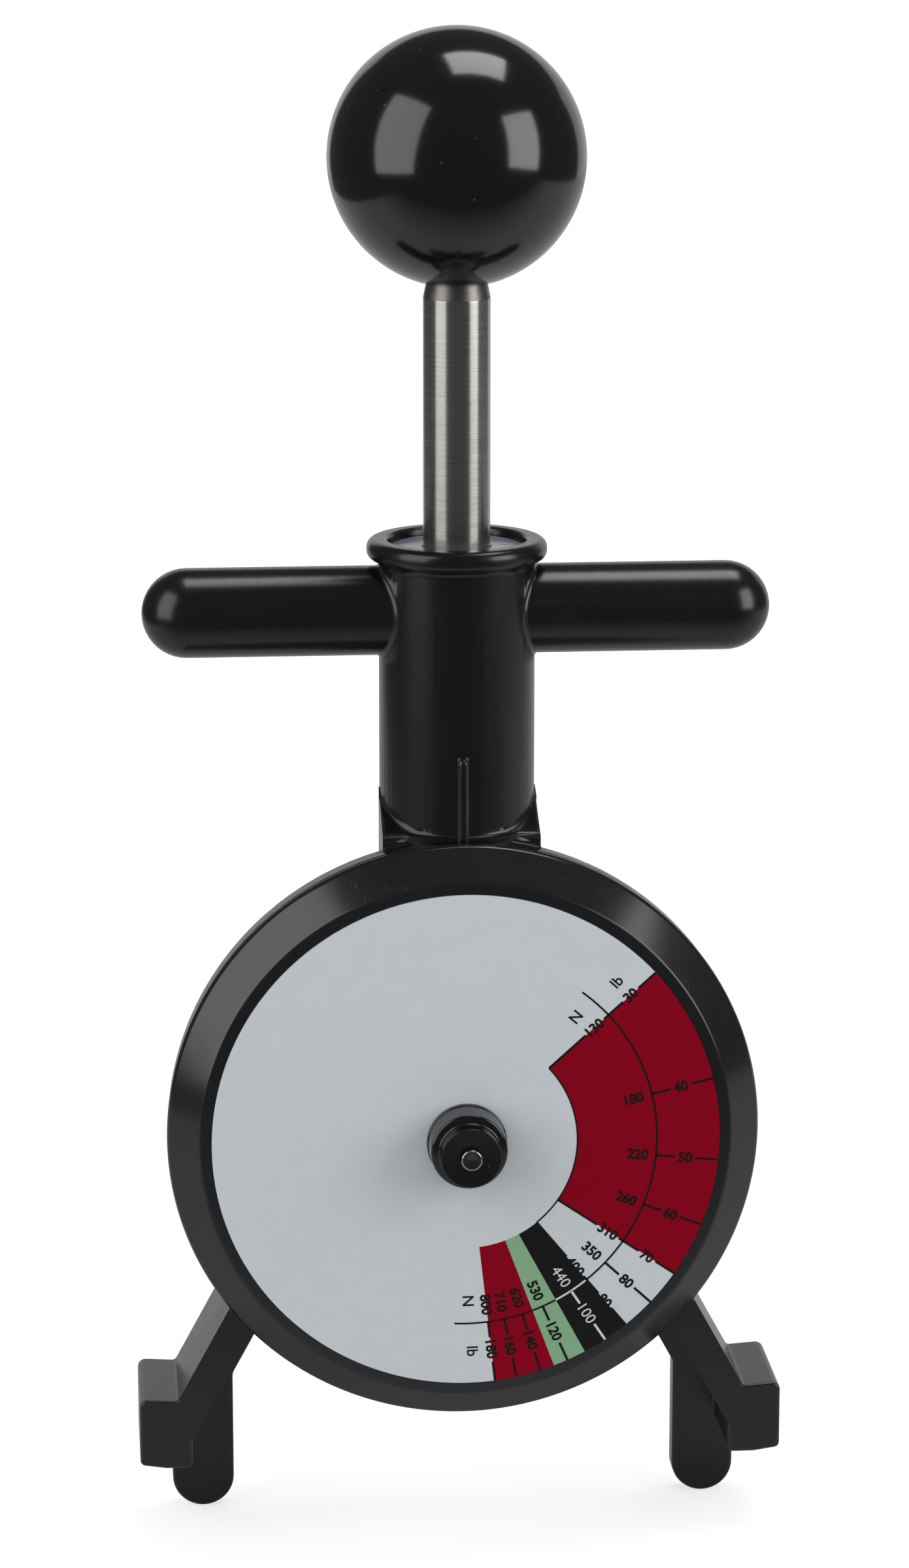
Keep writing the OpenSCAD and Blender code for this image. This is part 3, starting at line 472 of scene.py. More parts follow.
# %% Finishes: vinyl and screen inks
def printed_sheet(name, thin_hex, full_hex, smooth, rough, shine=0.06):
    """Screen-printed vinyl: cover and gloss wander in clouds about 3 mm wide."""
    finish, tree, shader, place = new_finish(name, IOR=1.5, Specular_IOR_Level=shine)
    cover = add_node(
        tree, "ShaderNodeTexNoise", {"Scale": grain(3), "Detail": 6, "Roughness": 0.6}, {"Vector": place}
    )
    ripple = add_node(tree, "ShaderNodeTexNoise", {"Scale": grain(1.1), "Detail": 1}, {"Vector": place})
    tone = add_node(
        tree, "ShaderNodeMixRGB", {1: linear(thin_hex), 2: linear(full_hex)}, {0: cover.outputs["Fac"]}
    )
    gloss = add_node(
        tree, "ShaderNodeMapRange", {"To Min": smooth, "To Max": rough}, {"Value": cover.outputs["Fac"]}
    )
    relief = add_node(
        tree, "ShaderNodeBump", {"Strength": 0.05, "Distance": 0.03 * MM}, {"Height": ripple.outputs["Fac"]}
    )
    join(tree, shader, Base_Color=tone, Roughness=gloss, Normal=relief)
    print("made", name)
    return finish


white_vinyl = printed_sheet("vinyl_white", "#BCC2C6", "#C3C9CC", 0.32, 0.42, 0.25)
red_ink = printed_sheet("screen_ink_red", "#86031B", "#7C0118", 0.34, 0.44)
green_ink = printed_sheet("screen_ink_green", "#80A783", "#7AA07D", 0.34, 0.44)
black_ink = printed_sheet("screen_ink_black", "#1D1C1C", "#161616", 0.32, 0.42)
white_ink = printed_sheet("screen_ink_white", "#C6CBCE", "#BEC4C8", 0.34, 0.44)

# %% [markdown]
# ## Handing a piece over
# A finished bmesh is shrunk to metres, becomes an object at the origin, gets its finishes, rides on
# a body of the frame and stands for its solid. Weighted normals keep large flat faces flat beside
# small rounded corners.

# %% Hand-over helper
def hand_over(name, shape, finishes, body, nodes=(), weighted=True):
    """Turns a bmesh in millimetres into a piece of the tester."""
    bmesh.ops.scale(shape, vec=(MM, MM, MM), verts=shape.verts)
    mesh = bpy.data.meshes.new(name)
    shape.to_mesh(mesh)
    shape.free()
    for finish in finishes:
        mesh.materials.append(finish)
    mesh.shade_smooth()
    mesh.set_sharp_from_angle(angle=math.radians(50))
    piece = bpy.data.objects.new(name, mesh)
    bpy.context.scene.collection.objects.link(piece)
    if weighted:
        normals = piece.modifiers.new("flat_faces_first", "WEIGHTED_NORMAL")
        normals.keep_sharp = True
        normals.weight = 70
    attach(piece, body)
    if nodes:
        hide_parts(*nodes)
    print(f"{name}: {len(mesh.polygons)} faces, rides on {body}")
    return piece


# %% [markdown]
# ## Turned pieces
# Ball, rod, cap, hub, shaft and bushes are all round. A lathe would cut each from an outline, and
# spin does the same: draw half the section as a chain of edges, round its corners with a vertex
# bevel, and spin the chain about the axis. On the plunger the outline's height is simply z. On the
# dial it is the distance to the front, so the finished shape is tipped over.

# %% Lathe helper
def turned(outline, closed, steps=96):
    """Spins an outline of (radius, height, rounding) about the z axis."""
    shape = bmesh.new()
    corners = [shape.verts.new((radius, 0, height)) for radius, height, _ in outline]
    following = corners[1:] + corners[:1] if closed else corners[1:]
    for corner, following_corner in zip(corners, following):
        shape.edges.new((corner, following_corner))
    for corner, (_, _, rounding) in zip(corners, outline):
        if rounding:
            bmesh.ops.bevel(
                shape, geom=[corner], offset=rounding, segments=4, profile=0.5, affect="VERTICES", material=-1
            )
    chain = shape.verts[:] + shape.edges[:]
    bmesh.ops.spin(
        shape, geom=chain, cent=(0, 0, 0), axis=(0, 0, 1), angle=math.tau, steps=steps, use_merge=True
    )
    bmesh.ops.remove_doubles(shape, verts=shape.verts, dist=0.001)
    bmesh.ops.recalc_face_normals(shape, faces=shape.faces)
    return shape


def on_plunger(shape):
    """Moves a turned shape onto the plunger's axis."""
    bmesh.ops.translate(shape, vec=(0, plunger_y, 0), verts=shape.verts)
    return shape


def on_dial(shape):
    """Tips a turned shape over, so that its top faces the front, onto the dial's axis."""
    bmesh.ops.rotate(shape, cent=(0, 0, 0), matrix=Matrix.Rotation(math.radians(90), 3, "X"), verts=shape.verts)
    bmesh.ops.translate(shape, vec=(0, 0, dial_z), verts=shape.verts)
    return shape


print("lathe ready")

# %% [markdown]
# ## Ball knob
# The ball is 38 mm across with a flat where the rod's shoulder seats. Its outline is itself an arc,
# so a single vertex is spun about the ball's centre first, and the arc is spun about the plunger.

# %% Ball knob
ball_low, ball_high = box_mm("ball_knob")
ball_r = (ball_high.x - ball_low.x) / 2
ball_z = ball_high.z - ball_r
flat_r = math.sqrt(ball_r ** 2 - (ball_z - ball_low.z) ** 2)
seat_r = 5.5
ball = bmesh.new()
flat_edge = ball.verts.new((flat_r, 0, ball_low.z))
bmesh.ops.spin(
    ball, geom=[flat_edge], cent=(0, 0, ball_z), axis=(0, -1, 0),
    angle=math.pi - math.asin(flat_r / ball_r), steps=48,
)
seat_edge = ball.verts.new((seat_r, 0, ball_low.z))
ball.verts.ensure_lookup_table()
ball.edges.new((seat_edge, ball.verts[0]))
bmesh.ops.spin(
    ball, geom=ball.verts[:] + ball.edges[:], cent=(0, 0, 0), axis=(0, 0, 1),
    angle=math.tau, steps=128, use_merge=True,
)
bmesh.ops.remove_doubles(ball, verts=ball.verts, dist=0.001)
bmesh.ops.recalc_face_normals(ball, faces=ball.faces)
hand_over(
    "polished_ball", on_plunger(ball), [polished_phenolic], "plunger", ["ball_knob"], False
)

# %% [markdown]
# ## Plunger rod
# The rod is ground bar with a chamfer under the ball and a lead at its lower end inside the channel.
# The chamfer was turned and not ground, so it is rougher, and its darker steel is painted shade
# under the ball. Its corner catches the light as a thin line.

# %% Plunger rod
rod_r = (rod_high.x - rod_low.x) / 2
lead_r, lead_h, chamfer_r, chamfer_h, stud_r = 3.8, 3.2, 4.5, 2.6, 4
rod = turned([
    (0, rod_low.z, 0),
    (lead_r, rod_low.z, 0.3),
    (rod_r, rod_low.z + lead_h, 0.4),
    (rod_r, ball_low.z - chamfer_h, 0.08),
    (chamfer_r, ball_low.z, 0),
    (stud_r, ball_low.z, 0),
    (stud_r, rod_high.z, 0.4),
    (0, rod_high.z, 0),
], closed=False)
# The chamfer's faces take the darker steel: painted shade under the ball.
for face in rod.faces:
    if ball_low.z - 2.5 < face.calc_center_median().z < ball_low.z:
        face.material_index = 1
hand_over(
    "ground_rod", on_plunger(rod), [ground_steel, turned_steel_shaded], "plunger",
    ["plunger_rod"], False,
)

# %% [markdown]
# ## Top bush
# A moulded ring in the barrel's mouth guides the rod. Four ejector pins left round marks on its
# face, and a small lead-in runs round its bore.

# %% Top bush
bush_low, bush_high = box_mm("top_bush")
bush_r = (bush_high.x - bush_low.x) / 2
bore_r, mark_r, mark_ring_r, mark_turn = 5.05, 1.15, 7.5, 10
top_bush = turned([
    (bore_r, bush_low.z, 0.2),
    (bush_r, bush_low.z, 0.2),
    (bush_r, bush_high.z, 0.35),
    (bore_r, bush_high.z, 0.3),
], closed=True)
for quarter in range(4):
    turn = Matrix.Rotation(math.radians(90 * quarter + mark_turn), 4, "Z")
    mark = bmesh.ops.create_circle(
        top_bush, cap_ends=True, segments=24, radius=mark_r,
        matrix=turn @ Matrix.Translation((mark_ring_r, 0, bush_high.z)),
    )
    face = mark["verts"][0].link_faces[0]
    bmesh.ops.inset_individual(top_bush, faces=[face], thickness=0.12, depth=0.06)
hand_over("acetal_top_bush", on_plunger(top_bush), [acetal_with_painted_reflection], "frame", ["top_bush"])

# %% [markdown]
# ## Dial cap
# The cap is a shallow dish: a bevelled skirt, a flat margin round the label and a boss at the back.
# In the photo thin highlights run along the skirt's rear edge and the corner to the flat margin, so
# both are rounded.

# %% Dial cap
cap_back, cap_front = -dial_high.y, -dial_low.y
cap_r = (dial_high.x - dial_low.x) / 2
shaft_r, boss_r, dish_r, margin_r, shell_t = 1.6, 6.0, 37.5, 39.7, 2.2
boss_back = cap_back + 0.4
cap = turned([
    (shaft_r, boss_back, 0),
    (boss_r, boss_back, 0.2),
    (boss_r, cap_front - shell_t, 0.4),
    (dish_r, cap_front - shell_t, 0.6),
    (cap_r - shell_t, cap_back, 0.2),
    (cap_r, cap_back, 0.25),
    (cap_r, cap_back + 0.8, 0.6),
    (margin_r, cap_front, 0.3),
    (shaft_r, cap_front, 0),
], closed=True, steps=192)
hand_over("bevelled_cap", on_dial(cap), [scuffed_abs], "dial", ["dial_cap"])

# %% [markdown]
# ## Hub and shaft
# The hub stands on a thin foot. A drum leads over a round shoulder to a slimmer neck with a flat
# front. The shaft's end stands out of it with a bright rim round a shallow recess, whose darker
# steel is painted shade.

# %% Hub and shaft
hub_low, hub_high = box_mm("dial_hub")
hub_back, hub_front = -hub_high.y, -hub_low.y
hub_foot_r, drum_low_r, drum_top_r, neck_low_r, neck_top_r = 6.0, 5.85, 5.7, 4.45, 4.5
hub = turned([
    (shaft_r, hub_back, 0),
    (hub_foot_r, hub_back, 0),
    (hub_foot_r, hub_back + 0.8, 0.25),
    (drum_low_r, hub_back + 0.8, 0),
    (drum_top_r, hub_back + 5.0, 0.3),
    (neck_low_r, hub_back + 5.3, 0.3),
    (neck_top_r, hub_front, 0.12),
    (shaft_r, hub_front - 0.1, 0),
], closed=True)
hand_over("stepped_hub", on_dial(hub), [polished_phenolic], "dial", ["dial_hub"])

shaft_low, shaft_high = box_mm("dial_shaft")
shaft_back, shaft_front = -shaft_high.y, -shaft_low.y
recess_r, recess_floor, dimple_r = 1.32, shaft_front - 0.12, 0.5
shaft = turned([
    (0, shaft_back, 0),
    (shaft_r, shaft_back, 0.3),
    (shaft_r, shaft_front, 0.26),
    (recess_r, shaft_front, 0),
    (recess_r, recess_floor, 0),
    (dimple_r, recess_floor, 0),
    (0, shaft_front - 0.25, 0),
], closed=False, steps=48)
# The recess's faces take the darker steel: painted shade.
for face in shaft.faces:
    middle = face.calc_center_median()
    if math.hypot(middle.x, middle.y) < 1.3 and middle.z > shaft_front - 1:
        face.material_index = 1
hand_over(
    "dimpled_shaft", on_dial(shaft), [polished_steel, recess_shade_steel], "dial", ["dial_shaft"]
)

# %% [markdown]
# ## The dial's face: colour zones
# The face is a vinyl disc with sectors of colour between an inner arc and its edge. Spinning one
# radial edge through a zone's angle sweeps that sector, so the whole disc is a row of sweeps that
# are welded and then given a thickness.

# %% Colour zones
label_low, label_high = box_mm("dial_label")
label_front, label_r = -label_low.y, (label_high.x - label_low.x) / 2
zone_r = 16.6
face_finishes = [white_vinyl, red_ink, green_ink, black_ink, white_ink]
WHITE, RED, GREEN, BLACK, PALE = range(5)
scale_start, red_end, black_start, black_end, green_end, scale_end = 42.3, -34.4, -50.7, -61.9, -69.6, -83.5
zones = [
    (scale_start, red_end, RED), (red_end, black_start, WHITE), (black_start, black_end, BLACK),
    (black_end, green_end, GREEN), (green_end, scale_end, RED), (scale_end, scale_start - 360, WHITE),
]


def swept_ring(shape, inner, outer, start, end, height, ink):
    """Sweeps a flat ring sector between two radii, from angle start to end in degrees."""
    turn = Matrix.Rotation(math.radians(start), 3, "Z")
    pair = [shape.verts.new(turn @ Vector((radius, 0, height))) for radius in (inner, outer)]
    edge = shape.edges.new(pair)
    before = set(shape.faces)
    bmesh.ops.spin(
        shape, geom=pair + [edge], cent=(0, 0, 0), axis=(0, 0, 1), angle=math.radians(end - start),
        steps=max(2, round(abs(end - start) / 2)),
    )
    for face in set(shape.faces) - before:
        face.material_index = ink


face = bmesh.new()
for start, end, ink in zones:
    swept_ring(face, zone_r, label_r, start, end, label_front, ink)
    swept_ring(face, shaft_r, zone_r, start, end, label_front, WHITE)
bmesh.ops.remove_doubles(face, verts=face.verts, dist=0.005)
bmesh.ops.recalc_face_normals(face, faces=face.faces)
if face.faces[:][0].normal.z < 0:
    bmesh.ops.reverse_faces(face, faces=face.faces)
bmesh.ops.solidify(face, geom=face.faces[:], thickness=label_high.y - label_low.y)
hand_over("printed_face", on_dial(face), face_finishes, "dial", ["dial_label"], False)

# %% [markdown]
# ## The dial's face: lines and numbers
# Numbers run outward along their tick, one row of pounds near the edge and one of newtons inside
# the middle arc. The ticks are thin quads and the numbers are text turned to mesh. All lie a
# few hundredths of a millimetre above the vinyl, as thick ink does.

# %% Ticks, arcs and numbers
arc_r, arc_w, zone_arc_w, tick_w = 28.55, 0.28, 0.24, 0.36
ink_h = label_front + 0.03
scale_marks = [
    (30, 130, 42.3), (40, 180, 13.8), (50, 220, -5.6), (60, 260, -21.4),
    (70, 310, -34.4), (80, 350, -43.0), (90, 400, -50.7), (100, 440, -56.5),
    (120, 530, -66.3), (140, 620, -72.9), (160, 710, -78.5), (180, 800, -83.5),
]
outer_number_r, inner_number_r, digit_h = 33.0, 25.8, 1.65
black_lines, white_lines = bmesh.new(), bmesh.new()


def tick(shape, angle, inner, outer):
    """A straight line of ink along a radius."""
    quad = bmesh.ops.create_grid(shape, x_segments=1, y_segments=1, size=0.5)["verts"]
    bmesh.ops.scale(shape, vec=(outer - inner, tick_w, 1), verts=quad)
    bmesh.ops.translate(shape, vec=((inner + outer) / 2, 0, ink_h), verts=quad)
    bmesh.ops.rotate(shape, cent=(0, 0, 0), matrix=Matrix.Rotation(math.radians(angle), 3, "Z"), verts=quad)


def number(shape, words, angle, radius, height=digit_h, boldness=0.012):
    """Text as mesh, set along the radius and centred on it."""
    curve = bpy.data.curves.new("digits", "FONT")
    curve.body = str(words)
    curve.resolution_u = 4
    curve.offset = boldness
    text = bpy.data.objects.new("digits", curve)
    bpy.context.scene.collection.objects.link(text)
    bpy.context.view_layer.update()
    mesh = text.to_mesh()
    before = set(shape.verts)
    shape.from_mesh(mesh)
    text.to_mesh_clear()
    bpy.data.objects.remove(text)
    bpy.data.curves.remove(curve)
    letters = [v for v in shape.verts if v not in before]
    low = Vector([min(v.co[i] for v in letters) for i in range(3)])
    high = Vector([max(v.co[i] for v in letters) for i in range(3)])
    size = height / (high.y - low.y)
    bmesh.ops.translate(shape, vec=-(low + high) / 2, verts=letters)
    bmesh.ops.scale(shape, vec=(size, size, 1), verts=letters)
    bmesh.ops.translate(shape, vec=(radius, 0, ink_h), verts=letters)
    bmesh.ops.rotate(shape, cent=(0, 0, 0), matrix=Matrix.Rotation(math.radians(angle), 3, "Z"), verts=letters)
    return (high.x - low.x) * size


for pounds, newtons, angle in scale_marks:
    ink, boldness = (white_lines, 0.0) if pounds == 100 else (black_lines, 0.032)
    half = number(ink, pounds, angle, outer_number_r, digit_h, boldness) / 2 + 0.5
    tick(ink, angle, arc_r, outer_number_r - half)
    tick(ink, angle, outer_number_r + half, label_r)
    half = number(ink, newtons, angle, inner_number_r, digit_h, boldness) / 2 + 0.4
    if pounds in (30, 70, 90):
        tick(ink, angle, zone_r, inner_number_r - half)
        tick(ink, angle, inner_number_r + half, arc_r)
for start, end, ink in (
    (53, black_start, black_lines), (black_start, black_end, white_lines), (black_end, -93.7, black_lines)
):
    swept_ring(ink, arc_r - arc_w / 2, arc_r + arc_w / 2, start, end, ink_h, 0)
swept_ring(black_lines, zone_r - zone_arc_w / 2, zone_r + zone_arc_w / 2, scale_start, black_start, ink_h, 0)
for words, angle, radius in (("lb", 47.5, 33.0), ("N", 49.5, 25.0), ("lb", -88.5, 33.0), ("N", -89.5, 25.0)):
    number(black_lines, words, angle, radius, 1.7)
for name, shape, ink in (("black_scale", black_lines, black_ink), ("white_scale", white_lines, white_ink)):
    bmesh.ops.recalc_face_normals(shape, faces=shape.faces)
    upside_down = [f for f in shape.faces if f.normal.z < 0]
    bmesh.ops.reverse_faces(shape, faces=upside_down)
    hand_over(name, on_dial(shape), [ink], "dial", (), False)

# %% [markdown]
# ## Mouldings with rounded corners
# The body is too irregular for one operator, and its solid already has the right shape. A copy of
# the solid is welded, its flat faces are joined, and all its sharp edges are bevelled: the mould
# maker's corner radius. The faces of the rounding are marked, so that the finish can rub them.

# %% Rounding helper
def rounded_copy(node, radius_mm, segments=3, leave=lambda corner: False, levels=()):
    """A welded copy of a solid, in millimetres, its sharp edges rounded unless leave says otherwise.

    Long faces are cut across at the heights in levels, which keeps their shading even.
    """
    shape = bmesh.new()
    shape.from_mesh(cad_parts[node].data)
    bmesh.ops.scale(shape, vec=(1 / MM, 1 / MM, 1 / MM), verts=shape.verts)
    bmesh.ops.remove_doubles(shape, verts=shape.verts, dist=0.002)
    bmesh.ops.dissolve_limit(
        shape, angle_limit=math.radians(0.4), verts=shape.verts[:], edges=shape.edges[:]
    )
    for level in levels:
        parts = shape.verts[:] + shape.edges[:] + shape.faces[:]
        bmesh.ops.bisect_plane(shape, geom=parts, plane_co=(0, 0, level), plane_no=(0, 0, 1), dist=0.001)
    rub_and_sheen = shape.faces.layers.float.new("rubbed_edge_and_sheen")
    sharp = [
        e for e in shape.edges
        if e.is_manifold and e.calc_face_angle() > math.radians(25) and not any(leave(v.co) for v in e.verts)
    ]
    made = bmesh.ops.bevel(
        shape, geom=sharp, offset=radius_mm, offset_type="OFFSET", segments=segments, profile=0.5,
        affect="EDGES", material=-1,
    )
    for rounded_face in made["faces"]:
        rounded_face[rub_and_sheen] = 1.0
    for rounded_face in shape.faces:
        rounded_face.material_index = 0
    print(f"{node}: {len(sharp)} sharp edges rounded by {radius_mm} mm")
    return shape


# %% [markdown]
# ## Body
# The CAD solid gives the moulding's shape, and its sharp corners are rounded a little. Corners that
# are round already, or that get a larger fillet below, are left alone.

# %% Body moulding
barrel_r, handle_r, handle_z, lip_low, rib_top = 11.65, 6.7, 143.4, 150.0, 123.15
shoulder_w, shoulder_z, shoulder_slope = 11.8, 116.35, 0.558
shoulder_front, shoulder_front_z = 5.175, 111.05
housing_r, housing_front, rim_r, rim_back = 44.3, -7.7, 43, -2.9
flare_r, foot_r, edge_r = 0.5, 1.15, 1.0
shading_levels = (112.5, 114.5, 117.5, 120.5, 123.4, 126, 129, 132, 136)


def already_round(corner):
    """True at the rim, lip, rib, handle and shoulder tips."""
    x, z, behind = abs(corner.x), corner.z, corner.y - plunger_y
    on_rim = abs(math.hypot(corner.x, z - dial_z) - rim_r) < 2.2 and corner.y < rim_back
    on_lip = math.hypot(corner.x, behind) > barrel_r + 0.2 and z > lip_low - 0.3
    on_rib = x < 2.5 and 109 < z < rib_top + 2.5 and corner.y < plunger_y - 10.8
    on_handle = abs(math.hypot(behind, z - handle_z) - handle_r) < 0.2 and x < 12
    on_shoulder_tip = abs(x - shoulder_w) < 0.3 and abs(behind) < 1 and 95 < z < 120
    return on_rim or on_lip or on_rib or on_handle or on_shoulder_tip


body = rounded_copy("body_frame", 0.45, leave=already_round, levels=shading_levels)
rubbed_and_sheen = body.faces.layers.float["rubbed_edge_and_sheen"]
# Faces along both edges of the rib get a double mark: a painted highlight, two light lines down the rib.
for face in body.faces:
    middle = face.calc_center_median()
    if 0.45 < abs(middle.x) < 1 and middle.y < plunger_y - barrel_r and 110 < middle.z < rib_top:
        face[rubbed_and_sheen] = 2.0

# %% [markdown]
# ## Fillets of the body
# The moulding has larger fillets as well: a flare where each side of the handle grows out of the
# barrel, a sweep round the barrel's foot, and a fillet along the housing's edge in front of it. The
# flare is sheared along the barrel's own curve, which keeps it tangent to both surfaces. The sweep
# follows the sloped shoulder and then the edge of the housing, and dies out to the sides. What would
# stand out of the shoulder or of the housing is cut off.

# %% Fillets of the body
def fillet_ring(surface_r, rise, radius, bury=0.6, steps=72, sides=6):
    """A ring in the corner between a cylinder and a wall: hollow face outside, buried back."""
    ring = bmesh.new()
    start = ring.verts.new((surface_r + radius, 0, rise))
    bmesh.ops.spin(
        ring, geom=[start], cent=(surface_r + radius, 0, rise + radius), axis=(0, 1, 0),
        angle=math.radians(90), steps=sides,
    )
    arc = ring.verts[:]
    buried = [ring.verts.new((off, 0, rise - bury)) for off in (surface_r + radius, surface_r - bury)]
    for pair in ((arc[0], buried[0]), buried, (buried[1], arc[-1])):
        ring.edges.new(pair)
    bmesh.ops.spin(
        ring, geom=ring.verts[:] + ring.edges[:], cent=(0, 0, 0), axis=(0, 0, 1),
        angle=math.tau, steps=steps, use_merge=True,
    )
    bmesh.ops.remove_doubles(ring, verts=ring.verts, dist=0.001)
    bmesh.ops.recalc_face_normals(ring, faces=ring.faces)
    return ring


def trimmed(shape, planes):
    """Cuts off what lies beyond each plane, a point and a facing, and closes the cut."""
    for place, facing in planes:
        parts = shape.verts[:] + shape.edges[:] + shape.faces[:]
        bmesh.ops.bisect_plane(shape, geom=parts, plane_co=place, plane_no=facing, clear_outer=True)
        bmesh.ops.holes_fill(shape, edges=[e for e in shape.edges if e.is_boundary])
    return shape


def pour_into(shape, extra, rubbed_and_sheen=0.0):
    """Adds a second shape to the first, rubbed or not."""
    layer = extra.faces.layers.float.new("rubbed_edge_and_sheen")
    for face in extra.faces:
        face[layer] = rubbed_and_sheen
    mesh = bpy.data.meshes.new("fillet")
    extra.to_mesh(mesh)
    extra.free()
    shape.from_mesh(mesh)
    bpy.data.meshes.remove(mesh)


for side in (-1, 1):
    flare = fillet_ring(handle_r, barrel_r, flare_r)
    bmesh.ops.rotate(
        flare, cent=(0, 0, 0), matrix=Matrix.Rotation(math.radians(90 * side), 3, "Y"), verts=flare.verts
    )
    for corner in flare.verts:
        corner.co.x += side * (math.sqrt(barrel_r ** 2 - corner.co.y ** 2) - barrel_r)
    bmesh.ops.translate(flare, vec=(0, plunger_y, handle_z), verts=flare.verts)
    pour_into(body, flare, 1.0)

between_sides = ((shoulder_w, 0, 0), (1, 0, 0)), ((-shoulder_w, 0, 0), (-1, 0, 0))
foot_sweep = fillet_ring(barrel_r, 0, foot_r, bury=3)
for corner in foot_sweep.verts:
    around = Vector((corner.co.x, corner.co.y)).normalized()
    share = max(0.12, min(-around.y, 1.7 + 1.3 * around.y))
    off_barrel = share * (math.hypot(corner.co.x, corner.co.y) - barrel_r)
    height = share * corner.co.z if corner.co.z > 0 else corner.co.z
    corner.co = (*(around * (barrel_r + off_barrel)), height)
    floor = max(shoulder_z + shoulder_slope * corner.co.y, shoulder_front_z)
    corner.co += Vector((0, plunger_y, floor))
pour_into(body, trimmed(foot_sweep, (
    *between_sides, ((0, plunger_y, 0), (0, 1, 0)), ((0, housing_front, 0), (0, -1, 0)),
)))
edge_sweep = on_dial(fillet_ring(housing_r, shoulder_front, edge_r, steps=240))
pour_into(body, trimmed(edge_sweep, (*between_sides, ((0, 0, dial_z + 30), (0, 0, -1)))))
hand_over("moulded_body", body, [moulded_nylon], "frame", ["body_frame"])

# %% [markdown]
# ## Rear cover and hook
# The cover of the rack channel is a flat moulding, rounded as the body is. The hook and its rack
# are cut from steel plate, so their edges are only broken.

# %% Rear cover and hook
hand_over(
    "channel_cover", rounded_copy("rear_cover", 0.4), [moulded_nylon], "frame", ["rear_cover"]
)
hand_over(
    "belt_hook", rounded_copy("rack_hook", 0.18, 2), [ground_steel], "plunger", ["rack_hook"]
)

# %% [markdown]
# ## Cover screws
# Four pan-head screws with a cross recess hold the cover. The cross is a twelve-sided outline inside
# the round head; both have 48 points, so bridge_loops joins them cleanly, and the cross is then
# extruded down and drawn in to make the tapered recess.

# %% Cover screws
screw_low, screw_high = box_mm("rear_cover_screws")
cover_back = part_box("rear_cover")[1].y / MM
head_h = screw_high.y - cover_back
crown_r, brow_r, head_r, shank_r, shank_end = 1.9, 2.4, 2.7, 1.5, -8.9
arm, arm_side, recess_depth, recess_taper = 1.35, 0.35, 1.1, 0.45
profile = (
    (brow_r, head_h - 0.25), (head_r, head_h - 0.8), (head_r, 0), (shank_r, 0), (shank_r, shank_end),
)


def cross_screw():
    """One screw along z, its head's seat at height 0."""
    screw = bmesh.new()
    cross = [
        (arm_side, arm_side), (arm_side, arm), (-arm_side, arm), (-arm_side, arm_side),
        (-arm, arm_side), (-arm, -arm_side), (-arm_side, -arm_side), (-arm_side, -arm),
        (arm_side, -arm), (arm_side, -arm_side), (arm, -arm_side), (arm, arm_side),
    ]
    tips = [screw.verts.new((x, y, head_h)) for x, y in cross]
    sides = [screw.edges.new(pair) for pair in zip(tips, tips[1:] + tips[:1])]
    bmesh.ops.subdivide_edges(screw, edges=sides, cuts=3)
    recess = screw.edges[:]
    rim = bmesh.ops.create_circle(
        screw, segments=48, radius=crown_r, matrix=Matrix.Translation((0, 0, head_h))
    )["verts"]
    rim_edges = [e for e in screw.edges if e.verts[0] in rim and e.verts[1] in rim]
    bmesh.ops.bridge_loops(screw, edges=recess + rim_edges)
    floor = bmesh.ops.extrude_edge_only(screw, edges=recess)["geom"]
    floor_verts = [g for g in floor if isinstance(g, bmesh.types.BMVert)]
    floor_edges = [g for g in floor if isinstance(g, bmesh.types.BMEdge)]
    bmesh.ops.translate(screw, vec=(0, 0, -recess_depth), verts=floor_verts)
    bmesh.ops.scale(screw, vec=(recess_taper, recess_taper, 1), verts=floor_verts)
    bmesh.ops.contextual_create(screw, geom=[e for e in floor_edges if all(v in floor_verts for v in e.verts)])
    ring = rim_edges
    for radius, height in profile:
        grown = bmesh.ops.extrude_edge_only(screw, edges=ring)["geom"]
        verts = [g for g in grown if isinstance(g, bmesh.types.BMVert)]
        ring = [g for g in grown if isinstance(g, bmesh.types.BMEdge) and all(v in verts for v in g.verts)]
        old_r = verts[0].co.xy.length
        bmesh.ops.scale(screw, vec=(radius / old_r, radius / old_r, 1), verts=verts)
        bmesh.ops.translate(screw, vec=(0, 0, height - verts[0].co.z), verts=verts)
    bmesh.ops.contextual_create(screw, geom=ring)
    bmesh.ops.recalc_face_normals(screw, faces=screw.faces)
    return screw


screws = bmesh.new()
for x in (screw_low.x + head_r, screw_high.x - head_r):
    for z in (screw_low.z + head_r, screw_high.z - head_r):
        screw = cross_screw()
        for angle, axis in ((x * 7 + z * 11, "Z"), (-90, "X")):
            turn = Matrix.Rotation(math.radians(angle), 3, axis)
            bmesh.ops.rotate(screw, cent=(0, 0, 0), matrix=turn, verts=screw.verts)
        bmesh.ops.translate(screw, vec=(x, cover_back, z), verts=screw.verts)
        pour_into(screws, screw)
hand_over("pan_head_screws", screws, [zinc_plate], "frame", ["rear_cover_screws"])
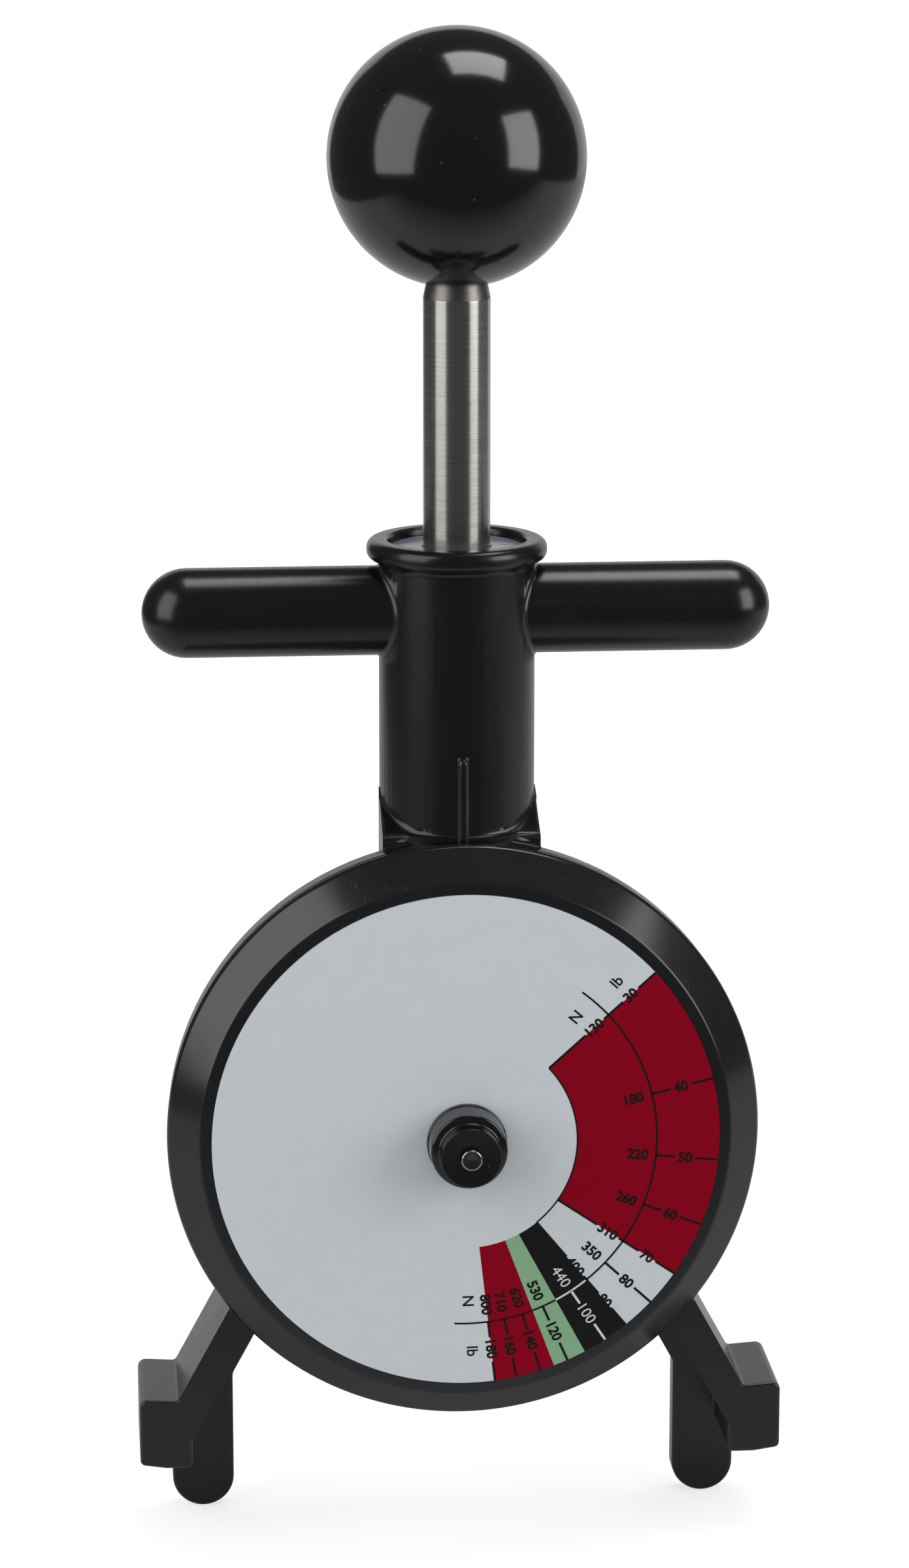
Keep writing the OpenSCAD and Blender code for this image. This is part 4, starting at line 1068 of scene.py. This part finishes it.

# %% [markdown]
# ## Return spring
# The coil is a wire circle that spins and climbs at once: spin takes a step vector as well as an
# angle. There is one flat coil at each end, with steep coils between. On the real tester it
# shortens as the plunger goes down; here it keeps the length of its solid and gets a mesh of its own.

# %% Return spring
spring_low, spring_high = box_mm("return_spring")
wire_r = 0.8
coil_r = (spring_high.x - spring_low.x) / 2 - wire_r
climb = spring_high.z - spring_low.z - 2 * wire_r
end_climb, turns, steps_per_turn = 0.04 * climb, 6.5, 32
spring = bmesh.new()
bmesh.ops.create_circle(
    spring, cap_ends=True, segments=10, radius=wire_r,
    matrix=Matrix.Translation((coil_r, 0, spring_low.z + wire_r)) @ Matrix.Rotation(math.radians(90), 4, "X"),
)
tip = spring.faces[:]
for share, rise in ((1, end_climb), (turns - 2, climb - 2 * end_climb), (1, end_climb)):
    steps = round(share * steps_per_turn)
    tip = bmesh.ops.spin(
        spring, geom=tip, cent=(0, 0, 0), axis=(0, 0, 1), dvec=(0, 0, rise / steps),
        angle=math.tau * share, steps=steps,
    )["geom_last"]
    tip = [g for g in tip if isinstance(g, bmesh.types.BMFace)]
bmesh.ops.remove_doubles(spring, verts=spring.verts, dist=0.001)
bmesh.ops.recalc_face_normals(spring, faces=spring.faces)
coil = hand_over(
    "wire_coil", on_plunger(spring), [spring_wire], "frame", ["return_spring"], False
)
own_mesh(coil)

# %% [markdown]
# ## The pieces that stay as they are
# The hidden works keep their solids, because their shapes are already right: bushes, washers,
# crosshead, pinion, pins and clip. Each gets the finish of its real material.

# %% Finishes on the remaining solids
kept_finishes = {
    sintered_bronze: ["lower_bush", "front_shaft_bush", "rear_shaft_bush"],
    zinc_plate: ["spring_washer", "spring_collar", "crosshead", "crosshead_screw", "rack_screws"],
    turned_brass: ["knob_insert", "pinion"],
    bumper_rubber: ["bumper_washer"],
    ground_steel: ["collar_pin", "pinion_pin"],
    spring_wire: ["shaft_clip"],
}
for finish, nodes in kept_finishes.items():
    for node in nodes:
        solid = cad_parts[node].data
        solid.materials.clear()
        solid.materials.append(finish)
    print(finish.name, "on", ", ".join(nodes))
